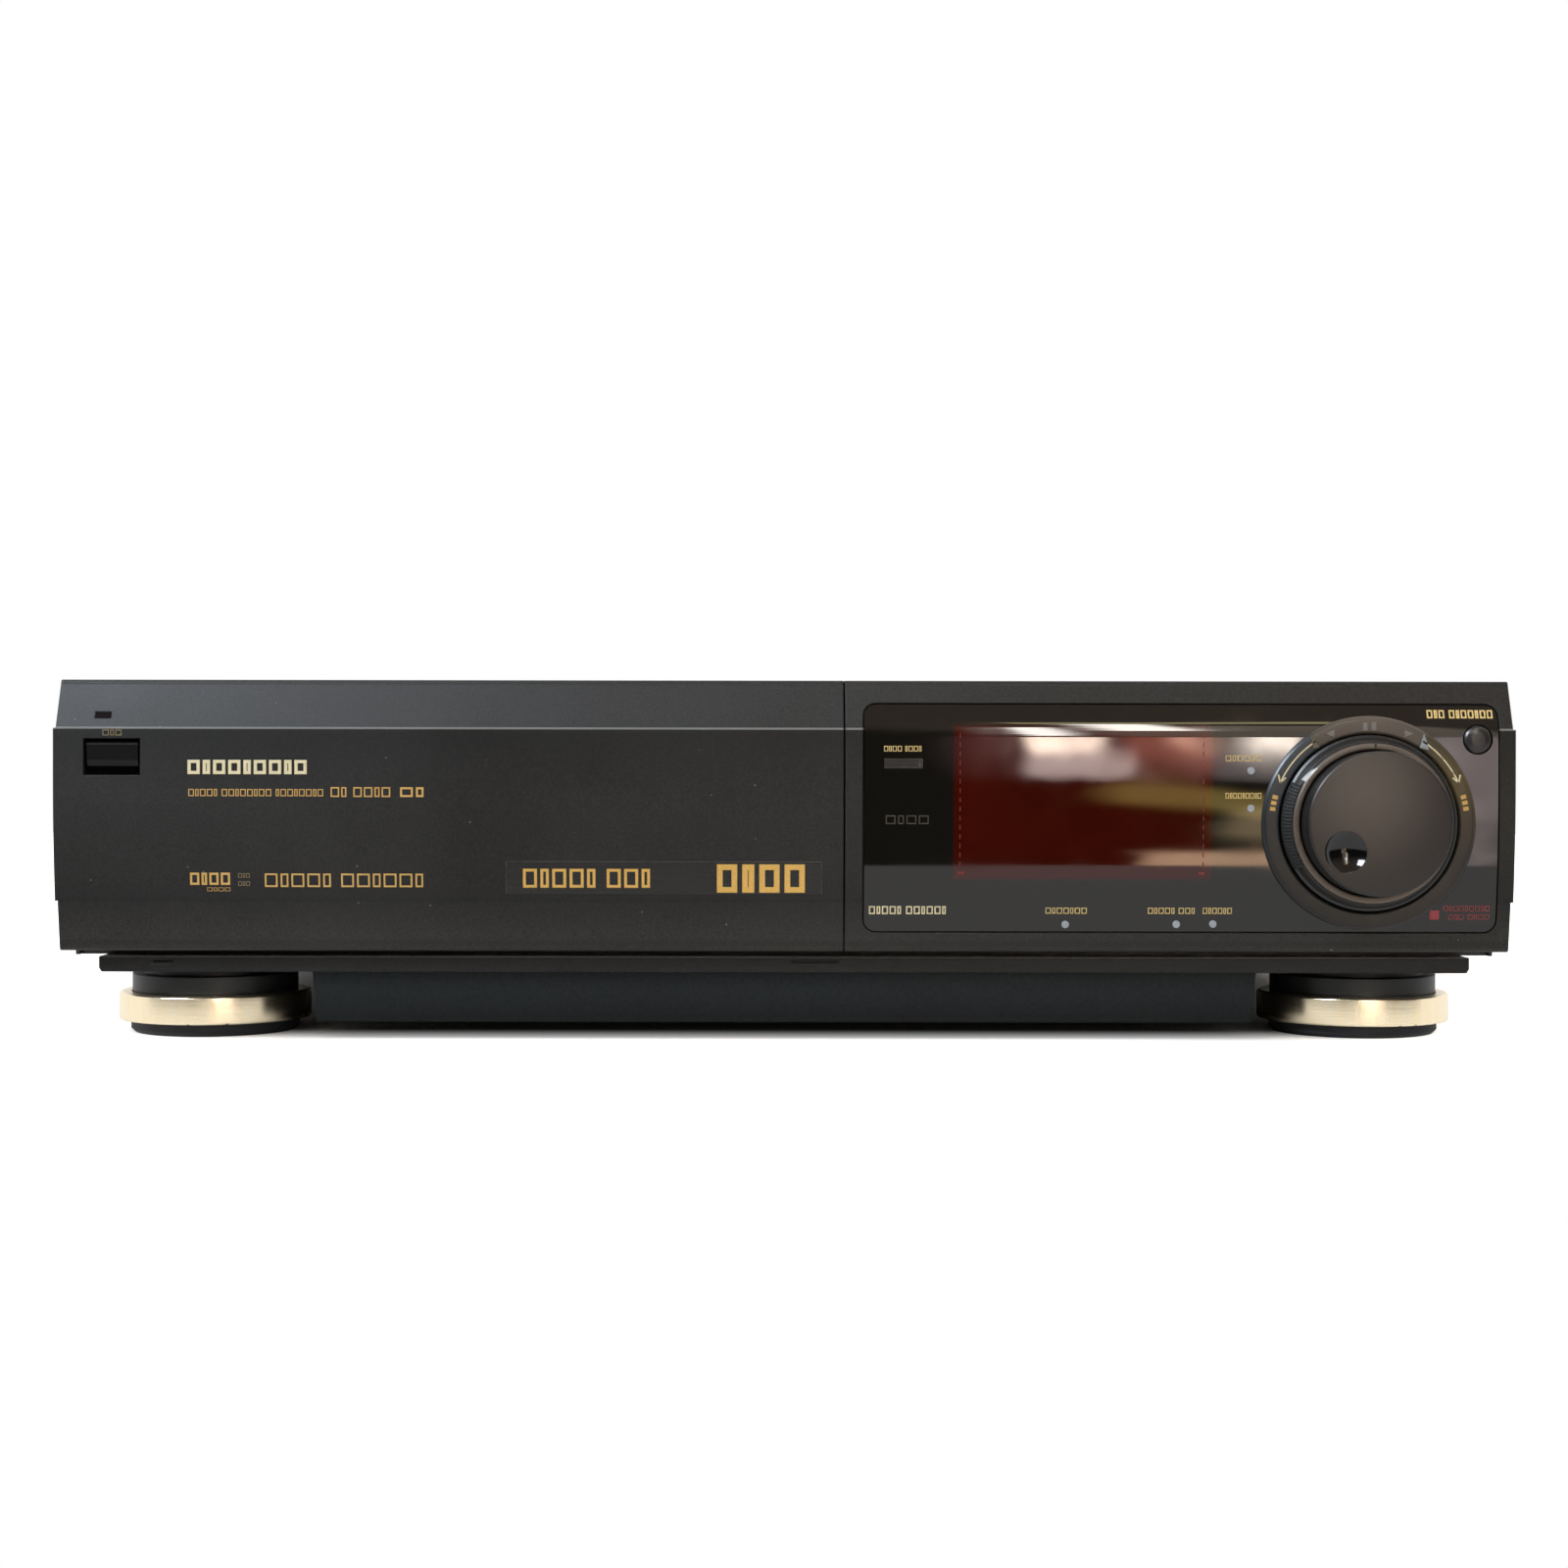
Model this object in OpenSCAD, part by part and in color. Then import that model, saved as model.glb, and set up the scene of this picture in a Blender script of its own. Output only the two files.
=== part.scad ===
// Front-loading video cassette recorder with two drop-down front doors.
// Local frame of the case: x across from the centre, y back from the front face, z up from its underside.
// Every module below the feet is drawn in that frame, and in_case() lifts it onto the feet.

/* [Case] */
// Width across the wings of the front doors
body_w = 430; // [428:0.5:436]
// Height of the case above its underside
case_h = 86.8; // [86.4:0.2:90]
// Depth from the front face to the rear edge of the cover
body_d = 385; // [383:1:400]
// Sheet steel thickness
sheet_t = 1.2; // [1:0.1:1.3]

/* [Feet] */
// Distance of each foot from the side of the case
foot_in = 38.5; // [38:0.5:40]
// Distance of the front feet behind the front face
foot_front = 40; // [38:1:44]
// Distance of the rear feet ahead of the rear edge
foot_rear = 48; // [44:1:60]
// Radius of the metal foot ring
ring_r = 29; // [28:0.2:29.6]
// Height of the metal foot ring
ring_h = 8.6; // [8:0.2:10]
// Thickness of the rubber pad
pad_h = 3.9; // [3.2:0.1:5]
// Radius of the rubber pad
pad_r = 25.5; // [24:0.5:27]
// Radius of the moulded foot neck
neck_r = 25.1; // [23:0.1:26]
// Height of the foot neck above the ring
neck_h = 5.4; // [4:0.2:6]
// Height of the narrow stem above the neck
stem_h = 2.3; // [1.6:0.1:3]

/* [Front doors] */
// Distance of the gap between the two doors from the left side
split_in = 232.6; // [231:0.2:234]
// Width of the gap between the two doors
door_gap = 0.5; // [0.4:0.1:0.8]
// Depth of the doors
door_depth = 9; // [8.8:0.1:9.3]
// Wall of the doors
door_wall = 2.6; // [2.3:0.1:2.8]
// Height of the sloping band along the top of the doors
bevel_h = 14.4; // [14:0.1:15]
// Set back of that band at the top
bevel_run = 5.8; // [5:0.1:6.2]
// Height at which the face starts to lean back
belly_z = 57.8; // [54:0.2:60]
// Height of the lower crease
slope_z = 21.4; // [20.6:0.2:22.4]
// Set back of the face at the lower crease
slope_in = 2; // [1.6:0.1:2.3]
// Set back of the face at the lower lip
lip_in = 4; // [3.7:0.1:4.2]
// Height of the doors' lower edge
lip_z = 6.6; // [6.4:0.1:6.9]
// Overhang of the side wings past the door ends
wing_out = 0.8; // [0.5:0.1:1]
// Radius of the steel hinge pins
pin_r = 1.2; // [1:0.05:1.3]
// Radial play of pins and shafts
play = 0.05; // [0.03:0.01:0.08]

/* [Smoked panel] */
// Distance of the smoked inlay from the gap between the doors
panel_left = 5.8; // [5.4:0.2:7]
// Distance of the smoked inlay from the right side
panel_right = 5.1; // [4.6:0.1:5.6]
// Reach of the smoked inlay below the dial's collar
panel_below = 0.6; // [0.4:0.1:1.2]
// Reach of the smoked inlay above the dial's collar
panel_above = 3.2; // [2.6:0.1:4]
// Corner radius of the smoked inlay
panel_r = 3.5; // [2:0.1:5]
// Thickness of the smoked inlay
panel_t = 1.5; // [1.2:0.1:1.7]
// Gap round the smoked inlay
panel_gap = 0.4; // [0.3:0.05:0.6]
// Distance of the display window from the left edge of the inlay
window_left = 26.3; // [24:0.5:28]
// Distance of the display window from the dial's collar
window_right = 14.3; // [12:0.5:17]
// Lower edge of the display window
window_z0 = 26.3; // [25:0.5:29]
// Distance of the display window below the upper crease
window_below = 0.6; // [0.2:0.2:3.4]

/* [Dial] */
// Distance of the dial from the right side
dial_in = 43.3; // [43:0.1:44.5]
// Distance of the dial below the middle of the door
dial_low = 1.8; // [1.2:0.1:2.2]
// Outer radius of the printed collar
collar_r = 31.6; // [31:0.1:32]
// Height of the collar in front of the face
collar_out = 1; // [0.6:0.1:2]
// Outer radius of the shuttle ring
shuttle_r = 26; // [25:0.1:26.4]
// Height of the shuttle ring in front of the face
shuttle_out = 6; // [4:0.2:8]
// Radius of the jog dial
jog_r = 21; // [20:0.1:21.6]
// Height of the jog dial in front of the face
jog_out = 14.9; // [10:0.1:18]
// Radius of the finger dimple
dimple_r = 6.1; // [5:0.1:7]

/* [Buttons] */
// Distance of the power button from the left side
power_in = 9.7; // [9:0.1:10.2]
// Width of the power button
power_w = 15.1; // [14:0.1:15.4]
// Height of the power button
power_h = 7.2; // [6:0.1:8]
// Distance of the power button's lower edge below the upper crease
power_low = 11.3; // [10.8:0.1:12.4]
// Distance from the gap between the doors to the push button that opens the right one
push_left = 11.6; // [11:0.1:12.4]
// Width of that push button
push_w = 11.5; // [10:0.1:12]
// Height of that push button
push_h = 2.9; // [2.4:0.1:3.4]
// Distance of that push button's lower edge below the upper crease
push_low = 11.6; // [10.4:0.2:13.4]
// Distance of the round mode button from the right side
mode_in = 11.2; // [10.8:0.1:11.4]
// Distance of the round mode button below the upper crease
mode_low = 2.9; // [2.4:0.1:3.2]
// Radius of the round mode button
mode_r = 4; // [3.6:0.1:4.2]
// Radius of the lamp lenses
lamp_r = 1.1; // [0.8:0.1:1.3]
// Width of a transport key
key_w = 14; // [12:0.2:15]
// Height of a transport key
key_h = 7; // [6:0.2:8]
// Distance from key to key
key_pitch = 17; // [16.5:0.1:17.4]

/* [Cassette loading] */
// Distance of the cassette slot from the left side
slot_in = 33; // [32:0.5:34]
// Width of the cassette slot
slot_w = 192; // [190:0.5:193]
// Distance of the cassette slot below the top of the case
slot_top = 11.5; // [11.2:0.1:12]
// Height of the cassette slot
slot_h = 28.5; // [28:0.1:29]
// Travel of the holder down to the reels
holder_drop = 20; // [18:0.5:20]

/* [Tape deck] */
// Height of the deck plate's upper side
deck_z = 19.8; // [19:0.1:20.2]
// Thickness of the deck plate
deck_t = 1.5; // [1.3:0.1:1.8]
// Radius of the head drum
drum_r = 31; // [30:0.1:31.2]
// Lean of the head drum in degrees
drum_lean = 5.5; // [4.5:0.1:6]
// Distance of each reel from the middle of the cassette
reel_dx = 46; // [45:0.5:47]
// Distance of the reels ahead of the rear edge
reel_rear = 235; // [233:1:237]
// Radius of a reel table
reel_r = 19; // [17:0.5:20]
// Radius of the capstan shaft
capstan_r = 2; // [1.6:0.1:2.1]
// Radius of the flywheel
flywheel_r = 23; // [20:0.5:24]
// Radius of the rubber pinch roller
roller_r = 6.5; // [6:0.1:6.6]

/* [Rear sockets] */
// Overhang of the aerial sockets behind the cover
jack_out = 10; // [8:0.5:12]
// Outer radius of a phono socket
phono_r = 4.15; // [4:0.05:4.3]
// Distance from phono socket to phono socket
phono_pitch = 15; // [13:0.5:17]

/* [Hidden] */
fine = 64;
smooth = 96;
cut = 0.5;
half_w = body_w / 2;
end_x = half_w - wing_out;
foot_x = half_w - foot_in;
split_x = split_in - half_w;
base_z = pad_h + ring_h + neck_h + stem_h;
face_y = jog_out - (jog_out + body_d + jack_out) / 2;
seat = 0.3;
hole_play = 0.2;

// Front face
crease_z = case_h - bevel_h;
door_mid_z = (case_h + lip_z) / 2;
edge_r = 1.4;
lip_round = 1.8;
hinge_y = door_depth + 0.2;
hinge_z = 11.8;
lug_r = 2.5;
ear_r = 2.3;
arm_half = 1.5;
lug_w = 3;
end_wall = 2;
left_end = split_x - door_gap / 2;
right_start = split_x + door_gap / 2;
lug_in = 9;
left_lugs = [lug_in - half_w, left_end - 8.35];
left_ears = [left_lugs[0] + lug_w + seat, left_lugs[1] - lug_w - seat];
right_lugs = [right_start + 5.15, half_w - lug_in];
right_ears = [right_lugs[0] + lug_w + seat, right_lugs[1] - lug_w - seat];

// Fixed frame behind the doors
rim_y = door_depth + 0.5;
rim_t = 2.2;
rim_z = hinge_z + 1.8;
frame_y = hinge_y + 6.6;
frame_t = 2.4;
frame_back = frame_y + frame_t;
cover_half = half_w - 2;
cover_in = cover_half - sheet_t;
inner_half = cover_in - seat;
cover_y = frame_y + 0.2;
cover_r = 3;
ceiling_z = case_h - sheet_t;
cover_z0 = rim_z - 9;
flange_h = 16;
vent_w = 3;
vent_step = 9;
vent_in = 23;
rear_y = body_d - 4;
rear_back = rear_y + sheet_t;
plinth_top = 4.6;
plinth_half = half_w - 11;
plinth_y = door_depth;
apron_half = foot_x - ring_r - 6.5;
apron_y = 12;
apron_h = base_z - 5;
apron_back = body_d - 14;
apron_t = 2;
apron_draft = 1.1;

// Screws
foot_bolt_r = 2;
foot_well_r = 5.5;
foot_head_z = pad_h + 6 - base_z;
side_bolt_r = 1.5;
side_screw_z = 10;
rear_screw_x = [15 - half_w, -30, 30, half_w - 15];
rear_screw_z = ceiling_z - 6;
head_r = 3.2;
head_h = 1.7;

// Dial, inlay and window on the right door
dial_x = half_w - dial_in;
dial_z = door_mid_z - dial_low;
panel_x0 = split_x + panel_left;
panel_x1 = half_w - panel_right;
panel_z0 = dial_z - collar_r - panel_below;
panel_z1 = dial_z + collar_r + panel_above;
window_x0 = panel_x0 + window_left;
window_x1 = dial_x - collar_r - window_right;
window_z1 = crease_z - window_below;
window_mid = (window_x0 + window_x1) / 2;

// Buttons and lamps
power_x0 = power_in - half_w;
power_z = crease_z - power_low;
power_travel = 1.8;
stem_in = 3.6;
stem_up = 1.4;
push_x0 = split_x + push_left;
push_z = crease_z - push_low;
mode_x = half_w - mode_in;
mode_z = crease_z - mode_low;
power_lamp_x = [power_x0 + 2.4, power_x0 + 7];
power_lamp_z = [case_h - 11.5, case_h - 9.8];
lamp_places = [[window_mid - 4.85, panel_z0 + 2.1], [window_x1 - 10.1, panel_z0 + 2.2],
    [window_x1 + 0.7, panel_z0 + 2.3], [window_x1 + 11.3, 60.3], [window_x1 + 11.3, 49.2]];

// Jacks and knob behind the left door
jack_z = 24;
jack_x0 = 149 - half_w;
jack_y = door_depth + 0.6;
jack_rear = frame_back + 8;
knob_x = 105 - half_w;
knob_r = 6;
knob_shaft_r = 3;

// Right tray and board
tray_x0 = right_ears[0] - 2.3;
tray_x1 = half_w - 7;
tray_z0 = 14.5;
tray_z1 = case_h - 8.8;
tray_y = frame_back + 5.8;
tray_t = 2;
tray_wall = 2;
key_x0 = tray_x1 - 108;
key_z = 22;
front_out = 4.5;
tray_back = tray_y + tray_t;
board_y = tray_back + 5;
board_t = 1.6;
key_count = 6;

// Dial stack, from front to back
dial_seat = 4.6;
pad_t = 3.4;
dial_pad_r = collar_r + 3.4;
bush_r = 5;
web_y = 2.8;
web_t = 1.5;
jog_back = web_y - 0.4;
jog_shaft_r = 3;
encoder_half = 14;
encoder_back = 16.6;
dimple_x = -10.2;
dimple_z = -8.7;
dimple_ball = 9;

// Cassette bay
slot_x0 = slot_in - half_w;
slot_x1 = slot_x0 + slot_w;
slot_mid = slot_x0 + slot_w / 2;
slot_z1 = case_h - slot_top;
slot_z = slot_z1 - slot_h;
flap_y = frame_back + 2.1;
flap_z = slot_z1 + 1.7;
flap_t = 1.4;
flap_x0 = slot_x0 - 1.5;
flap_x1 = slot_x1 + 1.5;
flap_pin = 4.3;
flap_ear = 2;
holder_x0 = slot_x0 - 4.9;
holder_x1 = slot_x1 + 4.7;
holder_y = frame_back + 35;
holder_d = 91;
holder_z = slot_z - 0.8;
holder_h = slot_h + 1.3;
hub_in = 36.8;
reel_y = body_d - reel_rear;
carriage_travel = reel_y - holder_y - hub_in;
guide_gap = 0.4;
carr_x0 = holder_x0 - guide_gap - sheet_t;
carr_x1 = holder_x1 + guide_gap + sheet_t;
carr_y = holder_y - 2;
carr_d = 90;
carr_z = holder_z - 6;
carr_top = holder_z + holder_h + 2.2;
frame_gap = 2;
frame_ahead = 21;
frame_behind = 19;
frame_x0 = carr_x0 - frame_gap - deck_t;
frame_x1 = carr_x1 + frame_gap + deck_t;
rail_z = carr_top - 8;
rail_r = 2;
lift_r = 1.5;
lift_z = holder_z + 20;
pin_back = [15, 75];

// Tape deck
deck_x0 = frame_x0 - 10;
deck_x1 = slot_x1 + 17;
deck_y0 = 46;
deck_y1 = reel_y + 160;
deck_posts = [[deck_x0 + 6, deck_y0 + 8], [deck_x0 + 6, deck_y1 - 8], [deck_x1 - 6, deck_y0 + 8],
    [deck_x1 - 6, deck_y1 - 8], [slot_mid, deck_y0 + 8], [slot_mid - 20, deck_y1 - 8]];
post_r = 2;
hub_r = 8;
drum_y = reel_y + 96;
drum_base_h = 3.2;
drum_split = 22;
drum_h = 38;
capstan_x = slot_mid + 64;
capstan_y = drum_y + 12;
wheel_z = 9;
wheel_h = 6;
arm_x = slot_mid + 88;
arm_y = drum_y;
arm_len = 24;
arm_rest = 198.4;
arm_z = deck_z + 2.5;
roller_x = arm_x + arm_len * cos(arm_rest);
roller_y = arm_y + arm_len * sin(arm_rest);
guide_dx = 38;
guide_y = drum_y - 40;
guide_travel = 56;
gear_x = slot_mid - 72;
gear_y = drum_y + 22;
gear_r = 16.6;
gear_teeth = 38;
worm_r = 3.2;
tooth_h = 1.4;
worm_y = gear_y + gear_r + tooth_h + seat + worm_r;
worm_shaft_r = 1;
motor_x = gear_x - 15;
motor_r = 10;
motor_z = deck_z + 12.4;

// Boards and sockets
pcb_z = 12;
pcb_t = 1.6;
pillar_in = 7;
main_x0 = deck_x1 + 7;
main_x1 = half_w - 9;
main_y0 = 60;
main_y1 = deck_y1 - 10;
chip_y = main_y0 + 30;
psu_x0 = 10 - half_w;
psu_x1 = psu_x0 + 145;
psu_y0 = deck_y1 + 8;
psu_y1 = body_d - 20;
socket_z = 40;
scart_x = [145 - half_w, 215 - half_w];
scart_half = 23.7;
scart_tall = 7;
flange_t = 1.6;
phono_x0 = 50 - half_w;
phono_in = 6;
phono_lip = 1.6;
pin_hole_r = 1.7;
aerial_x = [275 - half_w, 300 - half_w];
aerial_r = 4.9;
inlet_x = half_w - 35;
inlet_half = 12;
inlet_tall = 8;

function face_at(z) =
    z > crease_z ? (z - crease_z) * bevel_run / bevel_h :
    z > belly_z ? 0 :
    z > slope_z ? slope_in * pow((belly_z - z) / (belly_z - slope_z), 2) :
    slope_in + (slope_z - z) * (lip_in - slope_in) / (slope_z - lip_z - lip_round);
belly_stops = [for (i = [0:6]) slope_z + (belly_z - slope_z) * i / 6];
function stops(z0, z1) =
    concat([z0], [for (z = concat(belly_stops, [crease_z])) if (z > z0 && z < z1) z], [z1]);
function face_line(z0, z1, back) = [for (z = stops(z0, z1)) [face_at(z) + back, z]];
function reversed(list) = [for (i = [len(list) - 1:-1:0]) list[i]];
function band(z0, z1, a, b) = concat(face_line(z0, z1, a), reversed(face_line(z0, z1, b)));
function arc(cx, cy, r, a0, a1, n) =
    [for (i = [0:n]) [cx + r * cos(a0 + (a1 - a0) * i / n), cy + r * sin(a0 + (a1 - a0) * i / n)]];
function round_box(x0, x1, z0, z1, r) = concat(
    arc(x1 - r, z1 - r, r, 0, 90, 6), arc(x0 + r, z1 - r, r, 90, 180, 6),
    arc(x0 + r, z0 + r, r, 180, 270, 6), arc(x1 - r, z0 + r, r, 270, 360, 6));
function arch(half, top, bottom, r) = concat([[half, bottom]], arc(half - r, top - r, r, 0, 90, 6),
    arc(r - half, top - r, r, 90, 180, 6), [[-half, bottom]]);

// A block given by its limits along x, y and z
module block(x0, x1, y0, y1, z0, z1) {
    translate([x0, y0, z0]) cube([x1 - x0, y1 - y0, z1 - z0]);
}
module rod_x(x0, x1, y, z, r) {
    translate([x0, y, z]) rotate([0, 90, 0]) cylinder(h = x1 - x0, r = r, $fn = fine);
}
module rod_y(x, y0, y1, z, r) {
    translate([x, y0, z]) rotate([-90, 0, 0]) cylinder(h = y1 - y0, r = r, $fn = fine);
}
module rod_z(x, y, z0, z1, r) {
    translate([x, y, z0]) cylinder(h = z1 - z0, r = r, $fn = fine);
}
// A side outline of y and z points, carried from x0 to x1
module section_x(x0, x1, points) {
    translate([x0, 0, 0]) rotate([90, 0, 90]) linear_extrude(x1 - x0) polygon(points);
}
// A front outline of x and z points, carried from y0 back to y1
module outline_y(y0, y1, points) {
    translate([0, y1, 0]) rotate([90, 0, 0]) linear_extrude(y1 - y0) polygon(points);
}
module in_case() {
    translate([0, face_y, base_z]) children();
}

// The outline of a door wall: rounded lip, leaning face, sloping band and top return
door_lip = [[face_at(lip_z + lip_round) + door_wall, lip_z], [lip_in + 1, lip_z],
    [lip_in + 0.3, lip_z + 0.6]];
door_front = concat(door_lip, face_line(lip_z + lip_round, case_h - edge_r, 0),
    arc(face_at(case_h - edge_r) + edge_r, case_h - edge_r, edge_r, 180, 90, 4));
module door_shell(x0, x1) {
    section_x(x0, x1, concat(door_front, [[door_depth, case_h], [door_depth, case_h - door_wall]],
        reversed(face_line(lip_z + lip_round, case_h - door_wall, door_wall))));
    for (x = [x0, x1 - end_wall])
        section_x(x, x + end_wall, concat(face_line(rim_z, case_h - edge_r, 0.2),
            [[door_depth, case_h - edge_r], [door_depth, rim_z]]));
}
module wing(x0, x1) {
    section_x(x0, x1, concat(face_line(slope_z, crease_z, 0),
        [[door_depth, crease_z], [door_depth, slope_z]]));
}
module door_lugs(places) {
    for (x = places) {
        rod_x(x, x + lug_w, hinge_y, hinge_z, lug_r);
        block(x, x + lug_w, face_at(hinge_z) + door_wall - cut, hinge_y,
            hinge_z - lug_r, hinge_z + lug_r);
    }
}
module hinge_bores(places) {
    for (x = places) rod_x(x - cut, x + lug_w + cut, hinge_y, hinge_z, pin_r + play);
}

module chassis_pan() {
    color("silver") in_case() difference() {
        union() {
            block(-plinth_half, plinth_half, frame_back, rear_back, 0, sheet_t);
            for (s = [0, 1]) mirror([s, 0, 0]) {
                block(plinth_half - sheet_t, plinth_half, frame_back, rear_y, 0, cover_z0 + sheet_t);
                block(plinth_half - sheet_t, inner_half, frame_back, rear_y, cover_z0, cover_z0 + sheet_t);
                block(inner_half - sheet_t, inner_half, frame_back, rear_y, cover_z0, flange_h);
            }
            block(-plinth_half, plinth_half, frame_back, frame_back + sheet_t, 0, lip_z);
            block(-inner_half, inner_half, frame_back, frame_back + sheet_t, cover_z0, lip_z);
        }
        foot_places() rod_z(0, 0, -cut, sheet_t + cut, foot_bolt_r + hole_play);
        side_screws() rod_x(-cover_half - cut, -inner_half + 3, 0, 0, side_bolt_r + hole_play);
    }
}
module foot_places() {
    for (x = [-foot_x, foot_x], y = [foot_front, body_d - foot_rear]) translate([x, y, 0]) children();
}
module side_screws() {
    for (s = [0, 1], y = [70, body_d - 40]) mirror([s, 0, 0]) translate([0, y, side_screw_z]) children();
}
module top_cover() {
    color("dimgray") in_case() difference() {
        outline_y(cover_y, body_d, arch(cover_half, case_h, cover_z0, cover_r));
        outline_y(cover_y - cut, body_d + cut,
            arch(cover_in, ceiling_z, cover_z0 - cut, cover_r - sheet_t));
        for (i = [0:14], x = [vent_in - cover_half + vent_step * i])
            block(x, x + vent_w, body_d - 75, body_d - 30, ceiling_z - cut, case_h + cut);
        for (i = [0:14], x = [cover_half - vent_in - vent_w - 1 - vent_step * i])
            block(x, x + vent_w, 120, 165, ceiling_z - cut, case_h + cut);
        for (s = [0, 1], i = [0:11]) mirror([s, 0, 0])
            block(cover_in - cut, cover_half + cut, body_d - 140 + vent_step * i,
                body_d - 140 + vent_w + vent_step * i, 38, 66);
        side_screws() rod_x(-cover_half - cut, -inner_half + 3, 0, 0, side_bolt_r + hole_play);
    }
}
// A hole through the rear panel, given by its centre and its half width and half height
module rear_hole(x, half, tall) {
    block(x - half, x + half, rear_y - cut, rear_back + cut, socket_z - tall, socket_z + tall);
}
module rear_panel() {
    color("gray") in_case() difference() {
        outline_y(rear_y, rear_back, arch(inner_half, ceiling_z - seat, sheet_t, cover_r));
        for (s = [0, 1]) mirror([s, 0, 0])
            block(plinth_half, inner_half + cut, rear_y - cut, rear_back + cut, sheet_t - cut, cover_z0);
        for (x = scart_x) rear_hole(x, scart_half + seat, scart_tall + seat);
        rear_hole(inlet_x, inlet_half + seat, inlet_tall + seat);
        phono_places() rod_y(0, rear_y - cut, rear_back + cut, 0, phono_r + hole_play);
        for (x = aerial_x) rod_y(x, rear_y - cut, rear_back + cut, socket_z, aerial_r + hole_play);
        for (x = rear_screw_x)
            rod_y(x, rear_y - cut, rear_back + cut, rear_screw_z, side_bolt_r + hole_play);
    }
}
// Pan-head screws of one kind: two on each side, four along the rear and one up through each foot
module screws() {
    color("silver") in_case() {
        side_screws() {
            rod_x(-cover_half - head_h, -cover_half, 0, 0, head_r);
            rod_x(-cover_half - cut, -inner_half + 4, 0, 0, side_bolt_r);
        }
        for (x = rear_screw_x) {
            rod_y(x, rear_back, rear_back + head_h, rear_screw_z, head_r);
            rod_y(x, rear_y - 3, rear_back + cut, rear_screw_z, side_bolt_r);
        }
        foot_places() {
            rod_z(0, 0, foot_head_z - 3, foot_head_z, foot_well_r - 1);
            rod_z(0, 0, foot_head_z - cut, sheet_t + 4, foot_bolt_r);
        }
    }
}
module front_frame() {
    color([0.12, 0.12, 0.12]) in_case() difference() {
        union() {
            difference() {
                outline_y(rim_y, cover_y - 0.1, arch(cover_half, case_h, rim_z, cover_r));
                outline_y(rim_y - cut, frame_y + 1,
                    arch(cover_half - rim_t, case_h - rim_t, rim_z - cut, cover_r - rim_t));
            }
            outline_y(frame_y, frame_back, arch(inner_half, ceiling_z - seat, lip_z + 0.5, cover_r));
            for (x = concat(left_ears, right_ears)) {
                block(x, x + lug_w, hinge_y, frame_y + cut, hinge_z - arm_half, hinge_z + arm_half);
                rod_x(x, x + lug_w, hinge_y, hinge_z, ear_r);
            }
            for (x = [flap_x0 - flap_pin - flap_ear / 2, flap_x1 + flap_pin - flap_ear / 2])
                block(x, x + flap_ear, frame_back - cut, flap_y + 2.5, flap_z - 3, flap_z + 3);
        }
        hinge_bores(concat(left_ears, right_ears));
        rod_x(flap_x0 - 2 * flap_pin, flap_x1 + 2 * flap_pin, flap_y, flap_z, pin_r + play);
        block(slot_x0, slot_x1, frame_y - cut, frame_back + cut, slot_z, slot_z1);
        block(tray_x0, tray_x1, frame_y - cut, frame_back + cut, tray_z0, tray_z1);
        block(power_x0 + stem_in - seat, power_x0 + power_w - stem_in + seat, frame_y - cut,
            frame_back + cut, power_z + stem_up - seat, power_z + power_h - stem_up + seat);
        jack_places() rod_y(0, frame_y - cut, frame_back + cut, 0, phono_r + hole_play);
        rod_y(knob_x, frame_y - cut, frame_back + cut, jack_z, knob_shaft_r + play);
    }
}
module front_plinth() {
    color([0.16, 0.16, 0.15]) in_case() difference() {
        outline_y(plinth_y, frame_back, [[-plinth_half, plinth_top], [plinth_half, plinth_top],
            [plinth_half, 1.2], [plinth_half - 0.8, 0], [0.8 - plinth_half, 0], [-plinth_half, 1.2]]);
        for (x = [[2, 16], [27 - half_w, 33 - half_w]])
            block(x[0], x[1], plinth_y - cut, plinth_y + 1, plinth_top - 1.7, plinth_top - 1.1);
    }
}
function apron_outline(half, z1, z0) =
    [[-half, z1], [half, z1], [half - apron_draft, z0], [apron_draft - half, z0]];
module bottom_cover() {
    color([0.13, 0.14, 0.15]) in_case() difference() {
        outline_y(apron_y, apron_back, apron_outline(apron_half, 0, -apron_h));
        outline_y(apron_y + apron_t, apron_back - apron_t,
            apron_outline(apron_half - apron_t, cut, apron_t - apron_h));
    }
}
module left_door() {
    color([0.2, 0.2, 0.19]) in_case() difference() {
        union() {
            door_shell(-end_x, left_end);
            wing(-half_w, -end_x);
            door_lugs(left_lugs);
        }
        hinge_bores(left_lugs);
        block(power_x0 - 0.8, power_x0 + power_w + 0.8, -cut, door_depth + cut,
            power_z - 2.6, power_z + power_h + 1);
        lamp_slot(cut, 0.1);
    }
}
// The slot of the power lamp, or the lens itself where nothing is added all round
module lamp_slot(proud, grow) {
    section_x(power_lamp_x[0] - grow, power_lamp_x[1] + grow,
        band(power_lamp_z[0] - grow, power_lamp_z[1] + grow, -proud, door_wall + 0.8));
}
module power_lamp() {
    color([0.35, 0.08, 0.05]) in_case() lamp_slot(0.05, 0);
}
module right_door() {
    color([0.2, 0.2, 0.19]) in_case() difference() {
        union() {
            door_shell(right_start, end_x);
            wing(end_x, half_w);
            door_lugs(right_lugs);
            rod_y(dial_x, dial_seat, dial_seat + pad_t, dial_z, dial_pad_r);
        }
        hinge_bores(right_lugs);
        panel_slab(-cut, panel_t, panel_gap);
        rod_y(dial_x, -cut, dial_seat, dial_z, collar_r + 0.2);
        rod_y(dial_x, 0, dial_seat + pad_t + cut, dial_z, bush_r + 0.2);
        block(window_x0 + 2, window_x1 - 2, -cut, door_depth, window_z0 + 2, window_z1 - 2);
        panel_holes();
    }
}
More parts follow.
